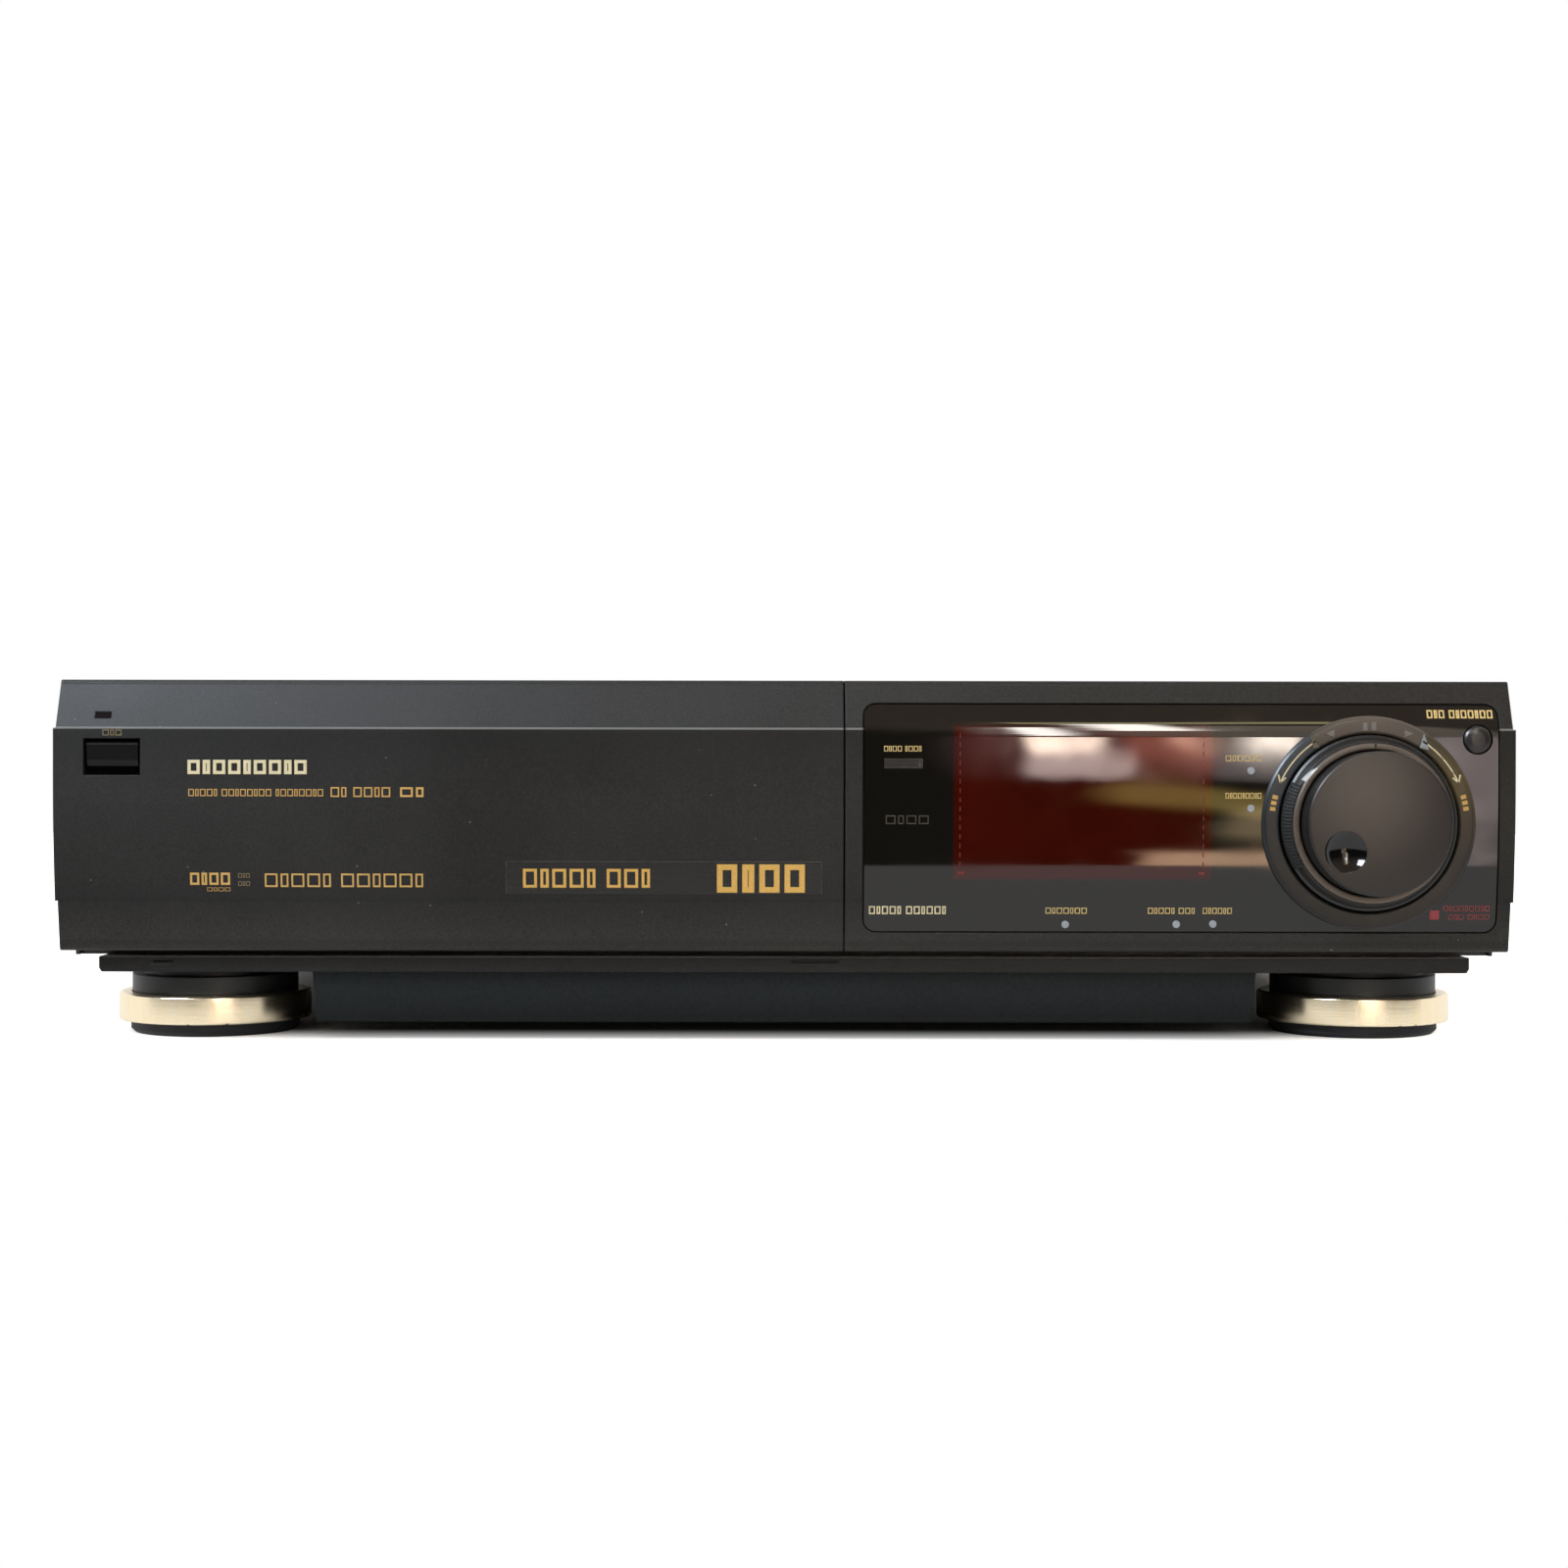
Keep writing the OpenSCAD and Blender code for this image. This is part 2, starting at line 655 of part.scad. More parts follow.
// The inlay's space: a slab between two depths behind the face, with round corners
module panel_slab(front, back, grow) {
    intersection() {
        section_x(panel_x0 - grow, panel_x1 + grow, band(panel_z0 - grow, panel_z1 + grow, front, back));
        outline_y(-1, door_depth, round_box(panel_x0 - grow, panel_x1 + grow,
            panel_z0 - grow, panel_z1 + grow, panel_r + grow));
    }
}
module panel_holes() {
    block(push_x0 - seat, push_x0 + push_w + seat, -cut, door_depth, push_z - seat, push_z + push_h + seat);
    rod_y(mode_x, -cut, door_depth, mode_z, mode_r + seat);
    for (p = lamp_places) rod_y(p[0], -cut, door_depth, p[1], lamp_r + play);
}
module smoked_panel() {
    color([0.09, 0.08, 0.08]) in_case() difference() {
        panel_slab(0, panel_t, 0);
        rod_y(dial_x, -cut, door_depth, dial_z, collar_r + 0.2);
        block(window_x0, window_x1, -cut, door_depth, window_z0, window_z1);
        panel_holes();
    }
}
module display_window() {
    color([0.3, 0.05, 0.04]) in_case()
        section_x(window_x0 + 0.1, window_x1 - 0.1, band(window_z0 + 0.1, window_z1 - 0.1, 0.05, panel_t));
}
module indicator_lamps() {
    color([0.6, 0.62, 0.66]) in_case()
        for (p = lamp_places) rod_y(p[0], face_at(p[1]) - 0.1, face_at(p[1]) + door_wall + 1, p[1], lamp_r);
}
module hinge_pins() {
    color("silver") in_case() {
        for (x = [left_lugs[0] - 0.2, left_ears[1] - 0.2, right_lugs[0] - 0.2, right_ears[1] - 0.2])
            rod_x(x, x + 2 * lug_w + 0.7, hinge_y, hinge_z, pin_r);
    }
}
module power_button() {
    power_rear = frame_y - power_travel - 0.6;
    power_top = power_z + power_h;
    color([0.06, 0.06, 0.07]) in_case() {
        section_x(power_x0, power_x0 + power_w, [[1.6, power_z], [0.8, power_z + 1.8],
            [0.5, power_top - 0.6], [1.1, power_top], [power_rear, power_top], [power_rear, power_z]]);
        block(power_x0 + stem_in, power_x0 + power_w - stem_in, power_rear - cut, frame_back + 6,
            power_z + stem_up, power_top - stem_up);
    }
}
module push_open_button() {
    color([0.25, 0.25, 0.24]) in_case() difference() {
        union() {
            block(push_x0, push_x0 + push_w, -0.2, door_wall + 1, push_z, push_z + push_h);
            block(push_x0 - 1, push_x0 + push_w + 1, door_wall + seat, door_wall + 1.6,
                push_z - 1, push_z + push_h + 1);
        }
        for (i = [1, 2], z = [push_z + push_h * i / 3])
            block(push_x0 + 0.7, push_x0 + push_w - 0.9, -0.3, 0.15, z - 0.2, z + 0.2);
    }
}
module jog_mode_button() {
    flange_r = mode_r + 0.8;
    flange_y = face_at(mode_z + flange_r) + door_wall + seat;
    color([0.12, 0.12, 0.12]) in_case() translate([mode_x, 0, mode_z]) rotate([-90, 0, 0])
        rotate_extrude($fn = fine) polygon([[0, -0.9], [mode_r * 0.5, -0.8], [mode_r * 0.85, -0.4],
            [mode_r, 0.1], [mode_r, flange_y], [flange_r, flange_y], [flange_r, flange_y + 1.1],
            [0, flange_y + 1.1]]);
}
module dial_collar() {
    color([0.15, 0.15, 0.15]) in_case() translate([dial_x, 0, dial_z]) rotate([-90, 0, 0])
        rotate_extrude($fn = smooth) polygon([[shuttle_r + seat, -collar_out + 0.3],
            [shuttle_r + 0.8, -collar_out], [collar_r - 0.4, -collar_out], [collar_r, -collar_out + 0.4],
            [collar_r, dial_seat], [shuttle_r + seat, dial_seat]]);
}
module shuttle_ring() {
    color([0.1, 0.1, 0.1]) in_case() translate([dial_x, 0, dial_z]) rotate([-90, 0, 0])
        rotate_extrude($fn = smooth) polygon([[bush_r + play, web_y], [bush_r + play, web_y + web_t],
            [shuttle_r, web_y + web_t], [shuttle_r, -shuttle_out + 1.2], [shuttle_r - 1.2, -shuttle_out],
            [jog_r + 0.9, -shuttle_out], [jog_r + 0.4, -shuttle_out + 0.5], [jog_r + 0.4, web_y]]);
}
module jog_dial() {
    dimple_lift = sqrt(pow(dimple_ball, 2) - pow(dimple_r, 2));
    color([0.3, 0.28, 0.26]) in_case() translate([dial_x, 0, dial_z]) difference() {
        union() {
            rotate([-90, 0, 0]) rotate_extrude($fn = smooth)
                polygon([[0, -jog_out], [jog_r - 1, -jog_out], [jog_r - 0.3, -jog_out + 0.3],
                    [jog_r, -jog_out + 1], [jog_r, jog_back], [0, jog_back]]);
            rod_y(0, jog_back - cut, encoder_back - 1.6, 0, jog_shaft_r);
        }
        translate([dimple_x, -jog_out - dimple_lift, dimple_z]) sphere(r = dimple_ball, $fn = fine);
    }
}
module dial_encoder() {
    color([0.2, 0.35, 0.2]) in_case() translate([dial_x, 0, dial_z]) difference() {
        union() {
            block(-encoder_half, encoder_half, dial_seat + pad_t, encoder_back, -encoder_half, encoder_half);
            rod_y(0, web_y - 0.2, dial_seat + pad_t + cut, 0, bush_r);
        }
        rod_y(0, -cut, encoder_back - 1.2, 0, jog_shaft_r + play);
    }
}
module control_panel() {
    color([0.1, 0.1, 0.1]) in_case() difference() {
        union() {
            difference() {
                block(tray_x0 - tray_wall, tray_x1 + tray_wall, frame_back, tray_back,
                    tray_z0 - tray_wall, tray_z1 + tray_wall);
                block(tray_x0, tray_x1, frame_back - cut, tray_y, tray_z0, tray_z1);
            }
            for (x = [tray_x0 + 10, tray_x1 - 10], z = [tray_z0 + 5, tray_z1 - 5])
                rod_y(x, tray_y, board_y, z, 3);
        }
        for (i = [0:key_count - 1]) key_block(i, tray_y - cut, tray_back + cut, seat);
        display_block(tray_y - cut, tray_back + cut, seat);
    }
}
// The space of one transport key between two depths, larger all round by grow
module key_block(i, y0, y1, grow) {
    x = key_x0 + key_pitch * i;
    block(x - key_w / 2 - grow, x + key_w / 2 + grow, y0, y1,
        key_z - key_h / 2 - grow, key_z + key_h / 2 + grow);
}
// The space of the display tube between two depths, larger all round by grow
module display_block(y0, y1, grow) {
    block(window_x0 + 0.6 - grow, window_x1 - 0.6 + grow, y0, y1,
        window_z0 + 3 - grow, window_z1 - 2 + grow);
}
module transport_key(i) {
    in_case() {
        key_block(i, tray_y - front_out, tray_back + 1, 0);
        key_block(i, tray_back + seat, tray_back + 1.5, 1);
    }
}
module rewind_key() {
    color([0.3, 0.3, 0.3]) transport_key(0);
}
module play_key() {
    color([0.3, 0.3, 0.3]) transport_key(1);
}
module forward_key() {
    color([0.3, 0.3, 0.3]) transport_key(2);
}
module stop_key() {
    color([0.3, 0.3, 0.3]) transport_key(3);
}
module pause_key() {
    color([0.3, 0.3, 0.3]) transport_key(4);
}
module record_key() {
    color([0.5, 0.1, 0.1]) transport_key(5);
}
module front_board() {
    color([0.1, 0.35, 0.2]) in_case() {
        block(tray_x0 + 2, tray_x1 - 2, board_y, board_y + board_t, tray_z0, tray_z1);
        for (i = [0:key_count - 1]) key_block(i, tray_back + 2.5, board_y + cut, -key_h / 4);
    }
}
module display_module() {
    color([0.2, 0.25, 0.25]) in_case()
        display_block(tray_y - front_out, board_y, 0);
}
module jack_places() {
    for (i = [0:2]) translate([jack_x0 + phono_pitch * i, 0, jack_z]) children();
}
// One board behind the left door: three jacks, the control of the knob and the power switch
module left_board() {
    switch_x0 = power_x0 + 1;
    switch_x1 = power_x0 + power_w - 1;
    color("goldenrod") in_case() difference() {
        union() {
            rod_y(knob_x, frame_back, jack_rear + cut, jack_z, 8);
            block(switch_x0, switch_x1, frame_back, jack_rear + cut, power_z, power_z + power_h);
            block(switch_x0, jack_x0 + 2 * phono_pitch + 10, jack_rear, jack_rear + board_t,
                jack_z - 8, jack_z + 8);
            block(switch_x0, switch_x1, jack_rear, jack_rear + board_t, jack_z, power_z + power_h);
        }
        rod_y(knob_x, frame_back - cut, jack_rear - 1, jack_z, knob_shaft_r + play);
        block(power_x0 + stem_in - seat, power_x0 + power_w - stem_in + seat, frame_back - cut,
            jack_rear, power_z + stem_up - seat, power_z + power_h - stem_up + seat);
    }
    color("goldenrod") in_case() jack_places() difference() {
        union() {
            rod_y(0, jack_y, jack_rear - seat, 0, phono_r);
            rod_y(0, frame_back, jack_rear - seat, 0, phono_r + phono_lip);
        }
        rod_y(0, jack_y - cut, jack_y + 8, 0, pin_hole_r);
    }
}
module tracking_knob() {
    color([0.15, 0.15, 0.15]) in_case() difference() {
        union() {
            rod_y(knob_x, jack_y, frame_y - 0.3, jack_z, knob_r);
            rod_y(knob_x, frame_y - cut, jack_rear - 1.4, jack_z, knob_shaft_r);
        }
        block(knob_x - 0.4, knob_x + 0.4, jack_y - cut, jack_y + 0.6,
            jack_z + 1, jack_z + knob_r + cut);
    }
}
module cassette_flap() {
    color([0.15, 0.15, 0.15]) in_case() {
        block(flap_x0, flap_x1, frame_back + seat, frame_back + seat + flap_t, slot_z - 0.8, flap_z);
        rod_x(flap_x0, flap_x1, flap_y, flap_z, 1.8);
        rod_x(flap_x0 - flap_pin - flap_ear / 2, flap_x1 + flap_pin + flap_ear / 2,
            flap_y, flap_z, pin_r);
    }
}
// A side frame at the left, or at the right for side 1, each with its foot turned outwards
module loader_frame(side) {
    x = side < 0 ? frame_x0 : frame_x1 - deck_t;
    foot_x0 = side < 0 ? x - 8 : x;
    foot_x1 = side < 0 ? x + deck_t : x + deck_t + 4;
    first = carr_y + pin_back[0];
    last = carr_y + pin_back[1] + carriage_travel;
    front = first - frame_ahead;
    back = last + frame_behind;
    difference() {
        union() {
            block(x, x + deck_t, front, back, deck_z, carr_top - 1);
            block(foot_x0, foot_x1, front, back, deck_z, deck_z + deck_t);
        }
        block(x - cut, x + deck_t + cut, first, last, rail_z - rail_r - play, rail_z + rail_r + play);
        for (y = [first, last]) rod_x(x - cut, x + deck_t + cut, y, rail_z, rail_r + play);
    }
}
module loader_frames() {
    color("silver") in_case()
        for (side = [-1, 1]) loader_frame(side);
}
module cassette_carriage() {
    pin_out = frame_gap + deck_t + seat;
    color("lightgray") in_case() difference() {
        union() {
            for (x = [carr_x0, carr_x1 - sheet_t])
                block(x, x + sheet_t, carr_y, carr_y + carr_d, carr_z, carr_top);
            block(carr_x0, carr_x1, carr_y + 12, carr_y + carr_d - 10, carr_top - sheet_t, carr_top);
            for (y = [for (b = pin_back) carr_y + b]) {
                rod_x(carr_x0 - pin_out, carr_x0 + cut, y, rail_z, rail_r);
                rod_x(carr_x1 - cut, carr_x1 + pin_out, y, rail_z, rail_r);
            }
        }
        for (y = [for (b = pin_back) carr_y + b - 8]) {
            block(carr_x0 - cut, carr_x1 + cut, y - lift_r - play, y + lift_r + play,
                lift_z - holder_drop, lift_z);
            for (z = [lift_z, lift_z - holder_drop])
                rod_x(carr_x0 - cut, carr_x1 + cut, y, z, lift_r + play);
        }
    }
}
module cassette_holder() {
    holder_back = holder_y + holder_d;
    holder_top = holder_z + holder_h;
    color("gainsboro") in_case() {
        difference() {
            block(holder_x0, holder_x1, holder_y, holder_back, holder_z, holder_top);
            block(holder_x0 + sheet_t, holder_x1 - sheet_t, holder_y - cut, holder_back + cut,
                holder_z + sheet_t, holder_top - sheet_t);
            block(holder_x0 + 16, holder_x1 - 16, holder_y - cut, holder_back + cut,
                holder_z - cut, holder_z + sheet_t + cut);
        }
        for (y = [for (b = pin_back) carr_y + b - 8]) {
            rod_x(holder_x0 - guide_gap - sheet_t, holder_x0 + cut, y, lift_z, lift_r);
            rod_x(holder_x1 - cut, holder_x1 + guide_gap + sheet_t, y, lift_z, lift_r);
        }
    }
}
module deck_plate() {
    color("silver") in_case() difference() {
        union() {
            block(deck_x0, deck_x1, deck_y0, deck_y1, deck_z - deck_t, deck_z);
            for (p = deck_posts) rod_z(p[0], p[1], sheet_t, deck_z - cut, 4);
            for (s = [-1, 1]) rod_z(slot_mid + s * reel_dx, reel_y, deck_z - cut, deck_z + 15, post_r);
            rod_z(arm_x, arm_y, deck_z - cut, arm_z + 6, post_r);
            rod_z(gear_x, gear_y, deck_z - cut, motor_z + 4, post_r);
        }
        rod_z(capstan_x, capstan_y, deck_z - deck_t - cut, deck_z + cut, bush_r + 0.2);
        for (s = [-1, 1]) {
            x = slot_mid + s * guide_dx;
            block(x - post_r - 0.1, x + post_r + 0.1, guide_y, guide_y + guide_travel,
                deck_z - deck_t - cut, deck_z + cut);
            for (y = [guide_y, guide_y + guide_travel])
                rod_z(x, y, deck_z - deck_t - cut, deck_z + cut, post_r + 0.1);
        }
    }
}
module drum_frame() {
    in_case() translate([slot_mid, drum_y, deck_z]) rotate([-drum_lean, 0, 0]) children();
}
module lower_drum() {
    color("gainsboro") {
        difference() {
            union() {
                in_case() rod_z(slot_mid, drum_y, deck_z, deck_z + 5, drum_r - 1.5);
                drum_frame() rod_z(0, 0, drum_base_h, drum_split, drum_r);
            }
            drum_frame() rod_z(0, 0, drum_base_h + 2, drum_split + cut, 3 + play);
        }
    }
}
module upper_drum() {
    color("white") drum_frame() difference() {
        union() {
            rod_z(0, 0, drum_split + 0.4, drum_h, drum_r);
            rod_z(0, 0, drum_base_h + 2.3, drum_split + 1, 3);
        }
        rod_z(0, 0, drum_h - 3, drum_h + cut, drum_r - 6);
    }
}
module reel_table(side) {
    x = slot_mid + side * reel_dx;
    in_case() difference() {
        union() {
            rod_z(x, reel_y, deck_z + seat, deck_z + 4.2, reel_r);
            rod_z(x, reel_y, deck_z + 4, deck_z + 18, hub_r);
            for (a = [0, 120, 240]) translate([x, reel_y, deck_z + 4]) rotate([0, 0, a])
                block(hub_r - 1, hub_r + 2, -1.2, 1.2, 0, 12);
        }
        rod_z(x, reel_y, deck_z - cut, deck_z + 15.6, post_r + play);
    }
}
module supply_reel() {
    color([0.2, 0.2, 0.2]) reel_table(-1);
}
module takeup_reel() {
    color([0.2, 0.2, 0.2]) reel_table(1);
}
module capstan() {
    color("silver") in_case() {
        rod_z(capstan_x, capstan_y, wheel_z - 2, deck_z + 26, capstan_r);
        rod_z(capstan_x, capstan_y, wheel_z, wheel_z + wheel_h, flywheel_r);
    }
}
// Bearing bush in the deck, and the motor's stator hung under the flywheel on three posts
module capstan_motor() {
    color("darkgoldenrod") in_case() {
        difference() {
            union() {
                rod_z(capstan_x, capstan_y, wheel_z + wheel_h + seat, arm_z - seat, bush_r);
                rod_z(capstan_x, capstan_y, deck_z, deck_z + 1.4, bush_r + 4);
            }
            rod_z(capstan_x, capstan_y, wheel_z, arm_z, capstan_r + play);
        }
        rod_z(capstan_x, capstan_y, wheel_z - 3.8, wheel_z - 2.2, flywheel_r + 7);
        for (a = [30, 150, 270]) translate([capstan_x, capstan_y, 0]) rotate([0, 0, a])
            rod_z(flywheel_r + 4, 0, wheel_z - 3, deck_z - deck_t, 2);
    }
}
module pinch_arm() {
    color("gray") in_case() difference() {
        union() {
            rod_z(arm_x, arm_y, deck_z + seat, arm_z + 5, 4.5);
            rod_z(roller_x, roller_y, arm_z, arm_z + 2, 4);
            translate([arm_x, arm_y, arm_z]) rotate([0, 0, arm_rest]) block(0, arm_len, -3, 3, 0, 2);
            rod_z(roller_x, roller_y, arm_z, arm_z + 21, 1.5);
        }
        rod_z(arm_x, arm_y, deck_z - cut, arm_z + 5 + cut, post_r + play);
    }
}
module pinch_roller() {
    color([0.1, 0.1, 0.1]) in_case() difference() {
        rod_z(roller_x, roller_y, arm_z + 2.3, arm_z + 19, roller_r);
        rod_z(roller_x, roller_y, arm_z, arm_z + 20, 1.5 + play);
    }
}
module tape_guide(side) {
    x = slot_mid + side * guide_dx;
    in_case() {
        block(x - 4, x + 4, guide_y - 5, guide_y + 5, deck_z + seat, deck_z + 5);
        rod_z(x, guide_y, deck_z + 4, deck_z + 27, 2.6);
        rod_z(x, guide_y, deck_z - deck_t - 1.2, deck_z + 1, post_r);
        rod_z(x, guide_y, deck_z - deck_t - 2, deck_z - deck_t - 0.3, 3.6);
    }
}
module supply_guide() {
    color("lightgray") tape_guide(-1);
}
module takeup_guide() {
    color("lightgray") tape_guide(1);
}
module fixed_heads() {
    color("silver") in_case() {
        for (p = [[-61, -14], [54, 29]])
            block(slot_mid + p[0] - 5, slot_mid + p[0] + 5, drum_y + p[1] - 6, drum_y + p[1] + 6,
                deck_z, deck_z + 25);
    }
}
module loading_motor() {
    color("gray") in_case() difference() {
        union() {
            rod_x(motor_x - 25, motor_x, worm_y, motor_z, motor_r);
            block(motor_x - 1, motor_x + 1, worm_y - motor_r + 1, worm_y + motor_r, deck_z, motor_z);
            block(motor_x - 25, motor_x + 1, worm_y - 8, worm_y + 8, deck_z, deck_z + 4);
        }
        rod_x(motor_x - 9, motor_x + 2, worm_y, motor_z, worm_shaft_r + play);
    }
}
module worm() {
    color("white") in_case() {
        rod_x(gear_x - 10, gear_x + 10, worm_y, motor_z, worm_r);
        rod_x(motor_x - 8.5, gear_x - 9, worm_y, motor_z, worm_shaft_r);
    }
}
function tooth_r(i) = gear_r + (i % 4 < 2 ? 0 : tooth_h);
function tooth_point(i) = tooth_r(i) * [cos(i * 90 / gear_teeth), sin(i * 90 / gear_teeth)];
module cam_gear() {
    color("ivory") in_case() translate([gear_x, gear_y, 0]) difference() {
        union() {
            translate([0, 0, motor_z - 3]) linear_extrude(6)
                polygon([for (i = [0:4 * gear_teeth - 1]) tooth_point(i)]);
            rod_z(0, 0, deck_z + seat, motor_z - 2, 6);
        }
        rod_z(0, 0, deck_z - cut, motor_z + 5, post_r + play);
    }
}
module main_board() {
    top = pcb_z + pcb_t;
    color([0.1, 0.3, 0.15]) in_case() {
        block(main_x0, main_x1, main_y0, main_y1, pcb_z, top);
        for (x = [main_x0 + pillar_in, main_x1 - pillar_in], y = [main_y0 + pillar_in, main_y1 - pillar_in])
            rod_z(x, y, sheet_t, pcb_z + cut, 3);
        block(main_x1 - 66, main_x1 - 6, main_y1 - 74, main_y1 - 6, top - cut, top + 24);
        for (i = [0:3], x = [main_x0 + 14 + 30 * i])
            block(x, x + 18, chip_y, chip_y + 28, top - cut, top + 3.4);
        for (i = [0:4]) rod_z(main_x0 + 18 + 16 * i, chip_y + 60, top - cut, top + 16, 5);
        for (i = [0:3]) rod_z(main_x0 + 22 + 18 * i, chip_y + 100, top - cut, top + 12, 4);
    }
}
module power_supply() {
    top = pcb_z + pcb_t;
    color([0.3, 0.3, 0.25]) in_case() {
        block(psu_x0, psu_x1, psu_y0, psu_y1, pcb_z, top);
        for (x = [psu_x0 + pillar_in, psu_x1 - pillar_in], y = [psu_y0 + pillar_in, psu_y1 - pillar_in])
            rod_z(x, y, sheet_t, pcb_z + cut, 3);
        block(psu_x0 + 10, psu_x0 + 55, psu_y0 + 4, psu_y1 - 4, top - cut, top + 42);
        for (i = [0:2]) rod_z(psu_x0 + 73 + 18 * i, psu_y0 + 22, top - cut, top + 28, 7.5);
        for (x = [psu_x0 + 65:11:psu_x0 + 120]) block(x, x + 2, psu_y0 + 34, psu_y1 - 1, top - cut, top + 20);
    }
}
module scart_sockets() {
    color([0.12, 0.12, 0.13]) in_case() for (x = scart_x) difference() {
        union() {
            block(x - scart_half, x + scart_half, rear_y - 14, rear_back + cut,
                socket_z - scart_tall, socket_z + scart_tall);
            block(x - 27, x + 27, rear_back, rear_back + flange_t, socket_z - 9.5, socket_z + 9.5);
        }
        outline_y(rear_y - 9, rear_back + 3, [[x - 21, socket_z - 4.6], [x + 21, socket_z - 4.6],
            [x + 21, socket_z + 1.5], [x + 18, socket_z + 4.6], [x - 21, socket_z + 4.6]]);
        for (s = [-1, 1]) rod_y(x + s * 24.9, rear_back - cut, rear_back + 2, socket_z + 7.4, 1);
    }
}
module phono_places() {
    for (i = [0:2], j = [-0.5, 0.5])
        translate([phono_x0 + phono_pitch * i, 0, socket_z + phono_pitch * j]) children();
}
module phono_sockets() {
    color([0.7, 0.6, 0.3]) in_case() {
        phono_places() difference() {
            union() {
                rod_y(0, rear_y - phono_in, rear_back + 8, 0, phono_r);
                rod_y(0, rear_y - phono_in, rear_y, 0, phono_r + phono_lip);
            }
            rod_y(0, rear_back, rear_back + 8 + cut, 0, pin_hole_r);
        }
        block(phono_x0 - 7, phono_x0 + 2 * phono_pitch + 7, rear_y - phono_in - seat - pcb_t,
            rear_y - phono_in - seat, socket_z - phono_pitch, socket_z + phono_pitch);
    }
}
module aerial_sockets() {
    color("silver") in_case() {
        block(aerial_x[0] - 12, aerial_x[1] + 12, rear_y - 30, rear_y, socket_z - 16, socket_z + 16);
        for (x = aerial_x) difference() {
            rod_y(x, rear_y - cut, body_d + jack_out, socket_z, aerial_r);
            rod_y(x, body_d + jack_out - 9, body_d + jack_out + cut, socket_z, 3.4);
        }
    }
}
module mains_inlet() {
    color([0.08, 0.08, 0.08]) in_case() difference() {
        union() {
            block(inlet_x - inlet_half, inlet_x + inlet_half, rear_y - 16, rear_back + cut,
                socket_z - inlet_tall, socket_z + inlet_tall);
            block(inlet_x - 15, inlet_x + 15, rear_back, rear_back + flange_t, socket_z - 10, socket_z + 10);
        }
        difference() {
            outline_y(rear_y - 12, rear_back + 3,
                round_box(inlet_x - 7.5, inlet_x + 7.5, socket_z - 4.3, socket_z + 4.3, 4.2));
            for (s = [-1, 1]) rod_y(inlet_x + s * 4.3, rear_y - 14, rear_back - 2, socket_z, 1.1);
        }
    }
}
module foot_bodies() {
    color([0.13, 0.13, 0.13]) in_case() foot_places() difference() {
        union() {
            rod_z(0, 0, pad_h - base_z, -stem_h, neck_r - 0.6);
            rod_z(0, 0, pad_h + ring_h - base_z, -stem_h, neck_r);
            rod_z(0, 0, -stem_h - cut, 0, neck_r - 4);
        }
        rod_z(0, 0, -base_z, cut, foot_bolt_r + 0.1);
        rod_z(0, 0, -base_z, foot_head_z, foot_well_r);
    }
}
module foot_rings() {
    color([0.96, 0.9, 0.76]) in_case() foot_places() translate([0, 0, pad_h - base_z])
        rotate_extrude($fn = smooth) polygon([[neck_r - 0.3, 0], [ring_r - 0.4, 0], [ring_r, 0.4],
            [ring_r, ring_h - 0.4], [ring_r - 0.4, ring_h], [neck_r - 0.3, ring_h]]);
}
module foot_pads() {
    color([0.08, 0.09, 0.09]) in_case() foot_places() difference() {
        translate([0, 0, -base_z]) rotate_extrude($fn = smooth)
            polygon([[0, 0], [pad_r - 1.2, 0], [pad_r, 1.2], [pad_r, pad_h], [0, pad_h]]);
        rod_z(0, 0, pad_h - base_z - 2, pad_h + 1 - base_z, foot_well_r);
    }
}

chassis_pan();
top_cover();
rear_panel();
screws();
front_frame();
front_plinth();
bottom_cover();
left_door();
right_door();
hinge_pins();
smoked_panel();
display_window();
indicator_lamps();
power_lamp();
power_button();
push_open_button();
jog_mode_button();
dial_collar();
shuttle_ring();
jog_dial();
dial_encoder();
control_panel();
play_key();
stop_key();
rewind_key();
forward_key();
pause_key();
record_key();
front_board();
display_module();
left_board();
tracking_knob();
cassette_flap();
loader_frames();
cassette_carriage();
cassette_holder();
deck_plate();
lower_drum();
upper_drum();
supply_reel();
takeup_reel();
capstan();
capstan_motor();
pinch_arm();
pinch_roller();
supply_guide();
takeup_guide();
fixed_heads();
loading_motor();
worm();
cam_gear();
main_board();
power_supply();
scart_sockets();
phono_sockets();
aerial_sockets();
mains_inlet();
foot_bodies();
foot_rings();
foot_pads();
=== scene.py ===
import math

